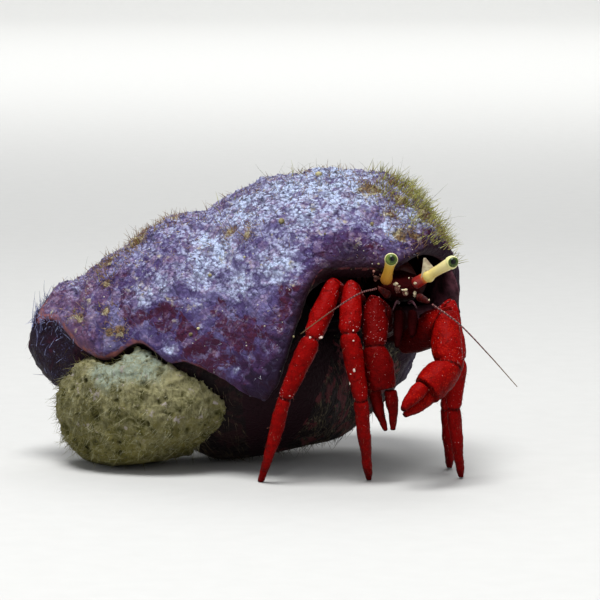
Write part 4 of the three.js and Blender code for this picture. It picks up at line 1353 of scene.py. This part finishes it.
@dataclass
class Limb:
    """A claw arm or a walking leg under one skin, with its soft joints and its pale beads."""

    name: str
    nodes: tuple[str, ...]
    joints: tuple[Point, ...]
    necks: tuple[float, ...]
    look: Look
    slot: str
    marks: tuple[tuple[float, float, float, float], ...] = ()
    waists: tuple[float, ...] = (0.05, 0.17, 0.05)
    knobs: int = 80
    hairs: int = 60

    def build(self, frame: dict, rng: np.random.Generator) -> None:
        """Makes the limb.

        Args:
            rng: the source of chance.
        """
        skin = node_copies(frame, self.nodes, f"{self.name}_skin")
        bpy.ops.object.mode_set(mode="EDIT")
        bpy.ops.mesh.select_all(action="DESELECT")
        bpy.ops.mesh.edges_select_sharp(sharpness=math.radians(48))
        bpy.ops.transform.edge_crease(value=0.55)
        bpy.ops.object.mode_set(mode="OBJECT")
        modify(skin, "SUBSURF", levels=2, render_levels=2)
        line = np.array(self.joints) + SHIFT
        plugs = [ball(joint, neck, 3) for joint, neck in zip(line[1:-1], self.necks)]
        skin = join([skin, *plugs], f"{self.name}_skin")
        modify(skin, "REMESH", mode="VOXEL", voxel_size=0.1)
        modify(skin, "SMOOTH", factor=0.5, iterations=3)
        carved(skin, 2.2, 0.26)
        carved(skin, 0.9, 0.16)
        carved(skin, 0.3, 0.06)
        places, normals = points_of(skin), normals_of(skin)
        foot = smooth((places[:, 2] - 0.2) / 0.8)
        gap = self.hinge(places, line)
        narrow = np.array(self.narrowing(places, line))
        ends = narrow * (0.3 * np.exp(-(((gap - 0.8) / 0.45) ** 2)) - np.exp(-((gap / 0.24) ** 2)))
        places = places + normals * ((0.05 + ends) * foot)[:, None]
        places[:, 2] = np.maximum(places[:, 2], 0.0)
        set_points(skin, places)
        along, _ = reach_along(places, line)
        stops = np.cumsum(np.linalg.norm(np.diff(line, axis=0), axis=1))
        hinge = self.hinge(places, line)
        keep(skin, "hinge", hinge)
        keep(skin, "reach", along / stops[-1])
        # painted shadow on the limb's first stretch inside the mouth
        keep(skin, "painted_mouth_shade", smooth((stops[0] * 1.15 - along) / (stops[0] * 0.55)))
        normals = normals_of(skin)
        keep(skin, "painted_light", painted_light(normals))
        self.bead(places, normals, along, stops, rng)
        self.bristle(places, normals, along, stops, rng)
        finish_piece(skin, ARMOUR[self.look].make(), self.nodes)

    def hinge(self, places: Array, line: Array) -> Array:
        """How far points lie from the plane that halves the nearest joint, in millimetres."""
        nearest = np.full(len(places), 9.0)
        for before, joint, after in zip(line, line[1:], line[2:]):
            way = (joint - before) / np.linalg.norm(joint - before) + (after - joint) / np.linalg.norm(after - joint)
            off = places - joint
            gap = np.abs(off @ way) / np.linalg.norm(way)
            nearest = np.minimum(nearest, np.maximum(gap, np.linalg.norm(off, axis=1) - 2.2))
        return nearest

    def narrowing(self, places: Array, line: Array) -> Array:
        """How far the skin draws in at the joint nearest to each point: most in the middle of the limb."""
        off = np.linalg.norm(places[:, None] - line[None, 1:-1], axis=2)
        return np.array(self.waists)[np.argmin(off, axis=1)]

    def bead(self, places: Array, normals: Array, along: Array, stops: Array, rng: np.random.Generator) -> None:
        """Sets pale beads along the joints' rims and here and there on the rest.

        Args:
            places: the skin's points.
            normals: their outward directions.
            along: their distances along the limb.
            stops: the joints' distances along the limb.
            rng: the source of chance.
        """
        before = np.full(len(places), 9.0)
        for stop in stops[:-1]:
            gap = np.abs(along - (stop - 0.5))
            before = np.minimum(before, gap)
        weights = (np.exp(-((before / 0.32) ** 2)) + 0.05 + 0.12 * smooth((stops[1] - along) / 3)) * painted_light(normals) ** 2
        weights[along > stops[-1] * 0.85] = 0
        weights[along < stops[0] * 0.35] = 0
        chosen = rng.choice(len(places), self.knobs, replace=False, p=weights / weights.sum())
        radii = rng.uniform(0.025, 0.065, len(chosen))
        radii[: max(2, self.knobs // 20)] *= 1.6
        beads = stamped(f"{self.name}_beads", places[chosen] + normals[chosen] * 0.01, radii, 1, 0.4)
        rosy = PlainFinish(f"{self.name}_beads", (0.38, 0.10, 0.10), (0.56, 0.32, 0.32), 0.5)
        finish_piece(beads, rosy.make())
        if not self.marks:
            return
        middles = np.array([mark[:3] for mark in self.marks]) + SHIFT
        nearest = [int(np.argmin(((places - middle) ** 2).sum(1))) for middle in middles]
        sizes = np.array([mark[3] for mark in self.marks])
        white = stamped(f"{self.name}_joint_knobs", places[nearest], sizes, 3, 0.7)
        carved(white, 0.3, 0.26)
        pale = PlainFinish(f"{self.name}_joint_knobs", (0.62, 0.45, 0.40), (0.78, 0.68, 0.60), 0.3)
        finish_piece(white, pale.make())

    def bristle(self, places: Array, normals: Array, along: Array, stops: Array, rng: np.random.Generator) -> None:
        """Grows a few short bristles that point down the limb.

        Args:
            places: the skin's points.
            normals: their outward directions.
            along: their distances along the limb.
            stops: the joints' distances along the limb.
            rng: the source of chance.
        """
        weights = smooth((along / stops[-1] - 0.3) / 0.4) * (places[:, 2] > 0.8)
        chosen = rng.choice(len(places), self.hairs, replace=False, p=weights / weights.sum())
        spots = np.stack((rng.uniform(0, 0.99, len(chosen)), along[chosen] / stops[-1] * 0.99), axis=1)
        tufts = Tufts(f"{self.name}_bristles", (0.2, 0.5), 0.016, (0, 0, -0.7), 0.5, 0.2, 0.2, 3)
        piece = tufts.build(places[chosen], normals[chosen], spots, rng)
        finish_piece(piece, PlainFinish(f"{self.name}_bristles", (0.22, 0.05, 0.03), (0.42, 0.20, 0.14)).make())


@dataclass
class Trunk:
    """The carapace and thorax, the soft curled abdomen and the short legs that brace it in the shell."""

    shield: tuple[str, ...] = ("carapace_shield",)
    thorax: tuple[str, ...] = ("thorax",)
    soft: tuple[str, ...] = ("carapace_rear", "abdomen_front", "abdomen_middle", "abdomen_rear", "tail_fan")
    braces: tuple[str, ...] = ("leg_fourth_right", "leg_fourth_left", "leg_fifth_right", "leg_fifth_left")
    mouthparts: tuple[str, ...] = ("mouthpart_right", "mouthpart_left")

    def rounded(self, frame: dict, nodes: tuple[str, ...], name: str, depth: float) -> Object:
        """A rounded copy of solids with its end edges kept and a fine relief."""
        piece = node_copies(frame, nodes, name)
        modify(piece, "SUBSURF", levels=3, render_levels=3)
        carved(piece, 1.2, depth)
        modify(piece, "SMOOTH", factor=0.3, iterations=2)
        keep(piece, "hinge", np.full(len(piece.data.vertices), 5.0))
        keep(piece, "reach", np.full(len(piece.data.vertices), 0.5))
        keep(piece, "painted_light", painted_light(normals_of(piece)))
        keep(piece, "painted_mouth_shade", np.zeros(len(piece.data.vertices)))
        return piece

    def build(self, frame: dict) -> None:
        """Makes the pieces of the trunk.
        """
        # painted shade: the pieces inside the shell take the near-black shield finish
        dark = ARMOUR[Look.SHIELD].make()
        rose = PlainFinish("abdomen", (0.040, 0.007, 0.006), (0.075, 0.018, 0.013), 1.6, 0.5, 0.06).make()
        pieces = (
            (self.shield, "carapace_skin", 0.2, dark, "deep_red"),
            (self.thorax, "thorax_skin", 0.15, dark, "deep_red"),
            (self.soft, "abdomen_skin", 0.3, rose, "abdomen_rose"),
            (self.braces, "brace_legs", 0.1, dark, "deep_red"),
            (self.mouthparts, "mouthpart_skins", 0.1, dark, "deep_red"),
        )
        for nodes, name, depth, material, slot in pieces:
            finish_piece(self.rounded(frame, nodes, name, depth), material, nodes)


@dataclass
class Eye:
    """An eyestalk with its cornea."""

    side: str
    base: Point
    tip: Point
    gaze: Point
    spot: Point
    finish: StalkFinish
    collar: float = 0.0
    edge: float = 0.8
    half: float = 0.62
    head_at: float = 0.8

    def turned_from(self, away: Array, look: Point) -> Array:
        """How far directions are turned from a line of sight, as a share of a quarter turn."""
        line = np.array(look) / np.linalg.norm(look)
        return np.degrees(np.arccos(np.clip(away @ line, -1, 1))) / 90

    def build(self) -> None:
        """Makes the stalk and the cornea."""
        foot, head = np.array(self.base) + SHIFT, np.array(self.tip) + SHIFT
        neck = foot + (head - foot) * self.head_at
        half = self.half
        swell = self.collar
        shape = ((0.0, half * 0.7), (0.03, half * 0.98), (0.12, half), (0.34, half * 0.84),
                 (0.38, half * (0.84 + swell)), (0.46, half * (0.82 + swell)), (0.52, half * 0.80), (0.66, half * 0.80),
                 (0.8, half * 0.86), (0.93, half * 0.96), (0.99, half * 0.98), (1.03, half * 0.85))
        stalk = turned(f"eyestalk_{self.side}_skin", shape, foot, neck, 20)
        along, _ = reach_along(points_of(stalk), np.array((foot, neck)))
        keep(stalk, "reach", along / np.linalg.norm(neck - foot))
        finish_piece(stalk, self.finish.make(), [f"eyestalk_{self.side}"])
        dome = ((0.0, half * 0.9), (0.06, half * 1.08), (0.3, half * 1.14), (0.55, half * 1.06), (0.78, half * 0.82),
                (0.94, half * 0.42), (1.0, half * 0.14))
        cornea = turned(f"cornea_{self.side}_skin", dome, neck, head, 24)
        away = points_of(cornea) - (neck + (head - neck) * 0.42)
        away /= np.linalg.norm(away, axis=1, keepdims=True)
        keep(cornea, "gaze", self.turned_from(away, self.gaze))
        keep(cornea, "spot", self.turned_from(away, self.spot))
        finish_piece(cornea, CorneaFinish(f"cornea_{self.side}", self.edge).make(), [f"cornea_{self.side}"])


@dataclass
class Feeler:
    """An outer feeler on its base."""

    side: str
    base: tuple[Point, Point]
    stops: tuple[Point, ...]
    thick: float = 0.105
    thin: float = 0.04

    def build(self) -> None:
        """Makes the banded feeler and its knobbly base."""
        line = path(self.stops, 60)
        share = np.linspace(0, 1, len(line))
        radii = (self.thick + (self.thin - self.thick) * share) * (1 + 0.08 * np.sin(share * 42 * math.tau / 2))
        piece = rod(f"antenna_{self.side}_skin", line, radii, 2)
        along, _ = reach_along(points_of(piece), line)
        keep(piece, "reach", along / along.max())
        finish_piece(piece, BandedFinish(f"feeler_{self.side}").make(), [f"antenna_{self.side}"])
        start, end = (np.array(point) + SHIFT for point in self.base)
        shape = ((0.0, 0.40), (0.1, 0.46), (0.3, 0.42), (0.36, 0.30), (0.42, 0.38), (0.62, 0.36), (0.68, 0.22),
                 (0.74, 0.28), (0.94, 0.22), (1.0, 0.12))
        stem = turned(f"antenna_base_{self.side}_skin", shape, start, end, 12)
        dark = PlainFinish(f"feeler_base_{self.side}", (0.022, 0.001, 0.001), (0.08, 0.005, 0.004), 0.7, 0.5)
        finish_piece(stem, dark.make(), [f"antenna_base_{self.side}"])


@dataclass
class Face:
    """The small scales, inner feelers and cream knobs between and beside the eyes."""

    inner: tuple[tuple[str, tuple[Point, ...]], ...] = (
        ("right", ((12.95, -13.2, 18.4), (12.7, -15, 18.7), (12.3, -16.3, 18))),
        ("left", ((14, -13.2, 18.4), (14.3, -15, 18.7), (14.7, -16.4, 18.2))),
    )
    scales: tuple[tuple[str, Point, Point], ...] = (
        ("right", (12.9, -13.1, 19.5), (12.7, -14.2, 20.3)),
        ("left", (13.7, -13.1, 19.3), (13.5, -14.2, 19.7)),
    )
    knobs: tuple[tuple[float, float, float, float], ...] = (
        (12.62, -14.25, 20.42, 0.30), (12.95, -14.3, 20.2, 0.18), (13.5, -14.2, 19.82, 0.33),
        (13.68, -14.2, 19.45, 0.25), (14.6, -13.35, 19.3, 0.29), (15.95, -16.0, 18.95, 0.17),
        (14.0, -13.35, 20.95, 0.22), (14.62, -13.95, 20.5, 0.2),
        (17.4, -17.15, 17.85, 0.07), (17.8, -17.5, 17.6, 0.09), (18.1, -17.75, 17.4, 0.06),
    )
    rosy: tuple[tuple[float, float, float, float], ...] = (
        (11.3, -11.2, 20.45, 0.27), (10.75, -11.9, 20.95, 0.29), (10.95, -11.6, 20.75, 0.2), (10.45, -12.6, 21.6, 0.22),
        (11.0, -13.9, 19.9, 0.18), (10.85, -15.0, 20.25, 0.12), (14.3, -13.0, 20.9, 0.2),
        (10.6, -11.6, 20.6, 0.18), (11.1, -12.0, 21.15, 0.16), (10.4, -12.2, 21.25, 0.15), (11.6, -12.6, 20.3, 0.2),
    )

    def build(self) -> None:
        """Makes the inner feelers, the scales and the knobs."""
        plum = PlainFinish("inner_feelers", (0.020, 0.003, 0.006), (0.06, 0.02, 0.03), 0.6, 0.5).make()
        cream = PlainFinish("cream_knobs", (0.46, 0.38, 0.21), (0.66, 0.58, 0.44), 0.3, 0.4).make()
        pink = PlainFinish("rosy_knobs", (0.07, 0.006, 0.005), (0.46, 0.24, 0.18), 0.3, 0.4).make()
        for side, stops in self.inner:
            piece = rod(f"antennule_{side}_skin", path(stops, 16), np.linspace(0.17, 0.07, 16), 2)
            finish_piece(piece, plum, [f"antennule_{side}"])
        for side, start, end in self.scales:
            shape = ((0.0, 0.24), (0.2, 0.32), (0.6, 0.3), (0.9, 0.2), (1.0, 0.08))
            piece = turned(f"eye_scale_{side}_skin", shape, np.array(start) + SHIFT, np.array(end) + SHIFT, 10)
            finish_piece(piece, pink, [f"eye_scale_{side}"])
        for name, rows, finish in (("face_knobs", self.knobs, cream), ("cheek_knobs", self.rosy, pink)):
            spots = np.array(rows)
            piece = stamped(name, spots[:, :3] + SHIFT, spots[:, 3], 3, 0.7)
            carved(piece, 0.4, 0.34)
            carved(piece, 0.15, 0.06)
            finish_piece(piece, finish)
        self.membrane()

    def membrane(self) -> None:
        """Stands the thin pale scale on the left eyestalk's collar."""
        foot = np.array((16.0, -14.3, 21.35)) + SHIFT
        bpy.ops.object.select_all(action="DESELECT")
        bpy.ops.mesh.primitive_plane_add(size=1.0, location=(0, 0, 0.5), rotation=(math.pi / 2, 0, 0))
        piece = bpy.context.object
        bpy.ops.object.transform_apply(location=True, rotation=True, scale=True)
        bpy.ops.object.mode_set(mode="EDIT")
        bpy.ops.mesh.select_all(action="SELECT")
        bpy.ops.mesh.subdivide(number_cuts=6)
        bpy.ops.object.mode_set(mode="OBJECT")
        flat = points_of(piece)
        across = flat[:, 0] * 1.7 * (1 - 0.86 * flat[:, 2])
        lean = 0.6 * across * (1 - flat[:, 2])
        places = np.stack((across - 0.45 * flat[:, 2], -0.1 + 0.3 * across**2, flat[:, 2] * 1.75 + lean), axis=1)
        set_points(piece, places + foot)
        modify(piece, "SOLIDIFY", thickness=0.1, offset=0.0)
        modify(piece, "SUBSURF", levels=2, render_levels=2)
        piece.name = piece.data.name = "eye_membrane"
        pale = PlainFinish("eye_membrane", (0.28, 0.21, 0.15), (0.52, 0.46, 0.30), 0.8, 0.45).make()
        finish_piece(piece, pale)


# ------------------------------------------------------------------ the studio


@dataclass
class Studio:
    """A plain pale floor, soft light and the camera."""

    target: Point = (3.6, 1.12, 17.3)
    distance: float = 400.0
    elevation: float = 6.0
    lens: float = 228.6

    def floor(self) -> None:
        """Lays the floor, which turns up into a backdrop far behind."""
        bpy.ops.object.select_all(action="DESELECT")
        bpy.ops.mesh.primitive_plane_add(size=3.0, location=(0, 0.6, 0))
        floor = bpy.context.object
        bpy.ops.object.transform_apply(location=True, rotation=True, scale=True)
        bpy.ops.object.mode_set(mode="EDIT")
        bpy.ops.mesh.select_all(action="DESELECT")
        bpy.ops.object.mode_set(mode="OBJECT")
        for edge in floor.data.edges:
            edge.select = all(floor.data.vertices[v].co.y > 2.0 for v in edge.vertices)
        bpy.ops.object.mode_set(mode="EDIT")
        bpy.ops.mesh.select_mode(type="EDGE")
        bpy.ops.mesh.extrude_region_move(TRANSFORM_OT_translate={"value": (0, 0, 1.8)})
        bpy.ops.object.mode_set(mode="OBJECT")
        floor.name = "studio_floor"
        modify(floor, "BEVEL", width=0.6, segments=12, limit_method="ANGLE")
        bpy.ops.object.shade_smooth()
        g = Graph("studio_floor")
        g.dress(g.mix((0.50, 0.50, 0.485), (0.54, 0.54, 0.525), g.noise(3.0, 3)), 0.9)
        floor.data.materials.append(g.material)

    def light(self, place: Point, aim: Point, size: float, power: float, tint: Colour = (1, 1, 1)) -> None:
        """Hangs one soft square light.

        Args:
            place: where it hangs, in metres.
            aim: what it faces, in millimetres.
            size: the length of its side.
            power: its power in watts.
            tint: its colour.
        """
        data = bpy.data.lights.new("soft_light", "AREA")
        data.shape, data.size, data.energy, data.color = "SQUARE", size, power, tint
        lamp = bpy.data.objects.new("soft_light", data)
        lamp.location = place
        way = Vector(aim) * MM - Vector(place)
        lamp.rotation_euler = way.to_track_quat("-Z", "Y").to_euler()
        bpy.context.scene.collection.objects.link(lamp)

    def build(self) -> None:
        """Sets up the floor, the lights, the world and the camera."""
        self.floor()
        self.light((-0.04, -0.14, 0.50), (3.6, 1.12, 17.3), 0.24, 3.4)
        self.light((0.35, -0.45, 0.25), (3.6, 1.12, 17.3), 0.30, 0.45, (1.0, 0.97, 0.93))
        self.light((-0.45, -0.35, 0.20), (3.6, 1.12, 17.3), 0.30, 0.5, (0.93, 0.96, 1.0))
        self.light((0.0, 0.9, 1.0), (0.0, 2100.0, 250.0), 1.4, 13.0)
        self.light((0.0, 1.1, 1.0), (0.0, 1100.0, 0.0), 1.2, 12.0)
        world = bpy.data.worlds.new("studio")
        world.use_nodes = True
        world.node_tree.nodes["Background"].inputs["Color"].default_value = (0.9, 0.93, 1.0, 1.0)
        world.node_tree.nodes["Background"].inputs["Strength"].default_value = 0.28
        scene = bpy.context.scene
        scene.world = world
        scene.view_settings.view_transform = "Standard"
        data = bpy.data.cameras.new("camera")
        data.lens, data.sensor_width = self.lens, 36.0
        data.clip_start, data.clip_end = 0.01, 20.0
        camera = bpy.data.objects.new("camera", data)
        tilt = math.radians(self.elevation)
        aim = Vector(self.target) * MM
        camera.location = aim + Vector((0, -math.cos(tilt), math.sin(tilt))) * self.distance * MM
        camera.rotation_euler = (math.pi / 2 - tilt, 0, 0)
        scene.collection.objects.link(camera)
        scene.camera = camera


# ------------------------------------------------------------------ the whole


def limbs() -> list[Limb]:
    """The two claw arms and the four walking legs."""
    lengths = ("merus", "carpus", "propodus", "dactyl")
    joints = {
        "leg_right_rear": ((9.5, -6, 16.6), (6.3, -13.28, 20.06), (4.15, -16, 15.1), (1.4, -15.8, 9), (-1.1, -13.1, 0)),
        "leg_right_front": ((10.2, -8, 15.4), (8.16, -13.5, 19.86), (7.9, -16.6, 15.6), (9.1, -16.3, 8.9),
                            (10, -11.8, 0)),
        "leg_left_front": ((15.8, -8.4, 15.2), (18.2, -9.7, 17.4), (19, -12, 12.4), (18.6, -12.5, 7.5),
                           (19.5, -10.4, 0)),
        "leg_left_rear": ((15.4, -6, 15.6), (18, -5.7, 16.5), (19, -6.6, 11.6), (18.2, -6, 6.6), (18.6, -3.6, 0)),
    }
    marks = {
        "leg_right_rear": ((5.06, -16.3, 15.3, 0.27), (3.9, -16.7, 15.2, 0.2), (1.9, -16.6, 9.3, 0.13)),
        "leg_right_front": ((8.37, -17.3, 16.0, 0.17), (8.3, -17.6, 15.1, 0.11), (8.4, -17.4, 12.05, 0.17),
                            (7.7, -17.0, 10.6, 0.2), (8.0, -17.3, 11.6, 0.1)),
    }
    legs = [Limb(name, tuple(f"{name}_{part}" for part in lengths), stops, (0.8, 0.84, 0.62), Look.LEG, "scarlet",
                 marks.get(name, ()))
            for name, stops in joints.items()]
    parts = ("merus", "carpus", "palm", "finger")
    right = Limb("claw_right", tuple(f"claw_right_{part}" for part in parts),
                 ((12.1, -9.4, 15.2), (10.6, -13.2, 17.7), (10.5, -15, 14.1), (12, -15, 5.6)), (1.15, 1.1),
                 Look.RIGHT_CLAW, "deep_red", waists=(0.08, 0.14), knobs=120)
    left = Limb("claw_left", tuple(f"claw_left_{part}" for part in parts),
                ((13.4, -9.8, 13.6), (17.6, -13.6, 16.4), (18, -16.4, 12.2), (13.3, -19.7, 8)), (1.35, 1.3),
                Look.LEFT_CLAW, "scarlet", waists=(0.08, 0.10), knobs=70)
    return [*legs, right, left]


def main() -> None:
    """Builds the model's looks in order and sets the studio round it."""
    logging.basicConfig(level=logging.INFO, format="%(name)s %(message)s")
    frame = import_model()
    rng = np.random.default_rng(SEED)
    Shell().build(frame, rng)
    Sponge().build(frame, rng)
    for limb in limbs():
        limb.build(frame, rng)
    Trunk().build(frame)
    Eye("right", (11.65, -13.2, 20.6), (12.2, -16.5, 23.5), (0.0, -1.0, 0.15), (0.18, -1.0, 0.12), RIGHT_STALK).build()
    Eye("left", (14.5, -13.2, 20.3), (18.8, -15.7, 23.1), (0.26, -1.0, 0.06), (0.12, -1.0, 0.16), LEFT_STALK,
        0.32, 0.6).build()
    Feeler("right", ((11.9, -13.3, 19.2), (10.9, -15, 20.1)),
           ((10.64, -15.3, 20.05), (8.7, -17.6, 19.7), (5.6, -18.8, 17.8), (3, -19.2, 15.9))).build()
    Feeler("left", ((15, -13.3, 19), (15.9, -15.9, 18.8)),
           ((16.26, -16.2, 18.56), (18.9, -18.4, 16.8), (21.8, -20, 13.9), (24.6, -21, 10.8))).build()
    Face().build()
    Studio().build()


if __name__ == "__main__":
    main()
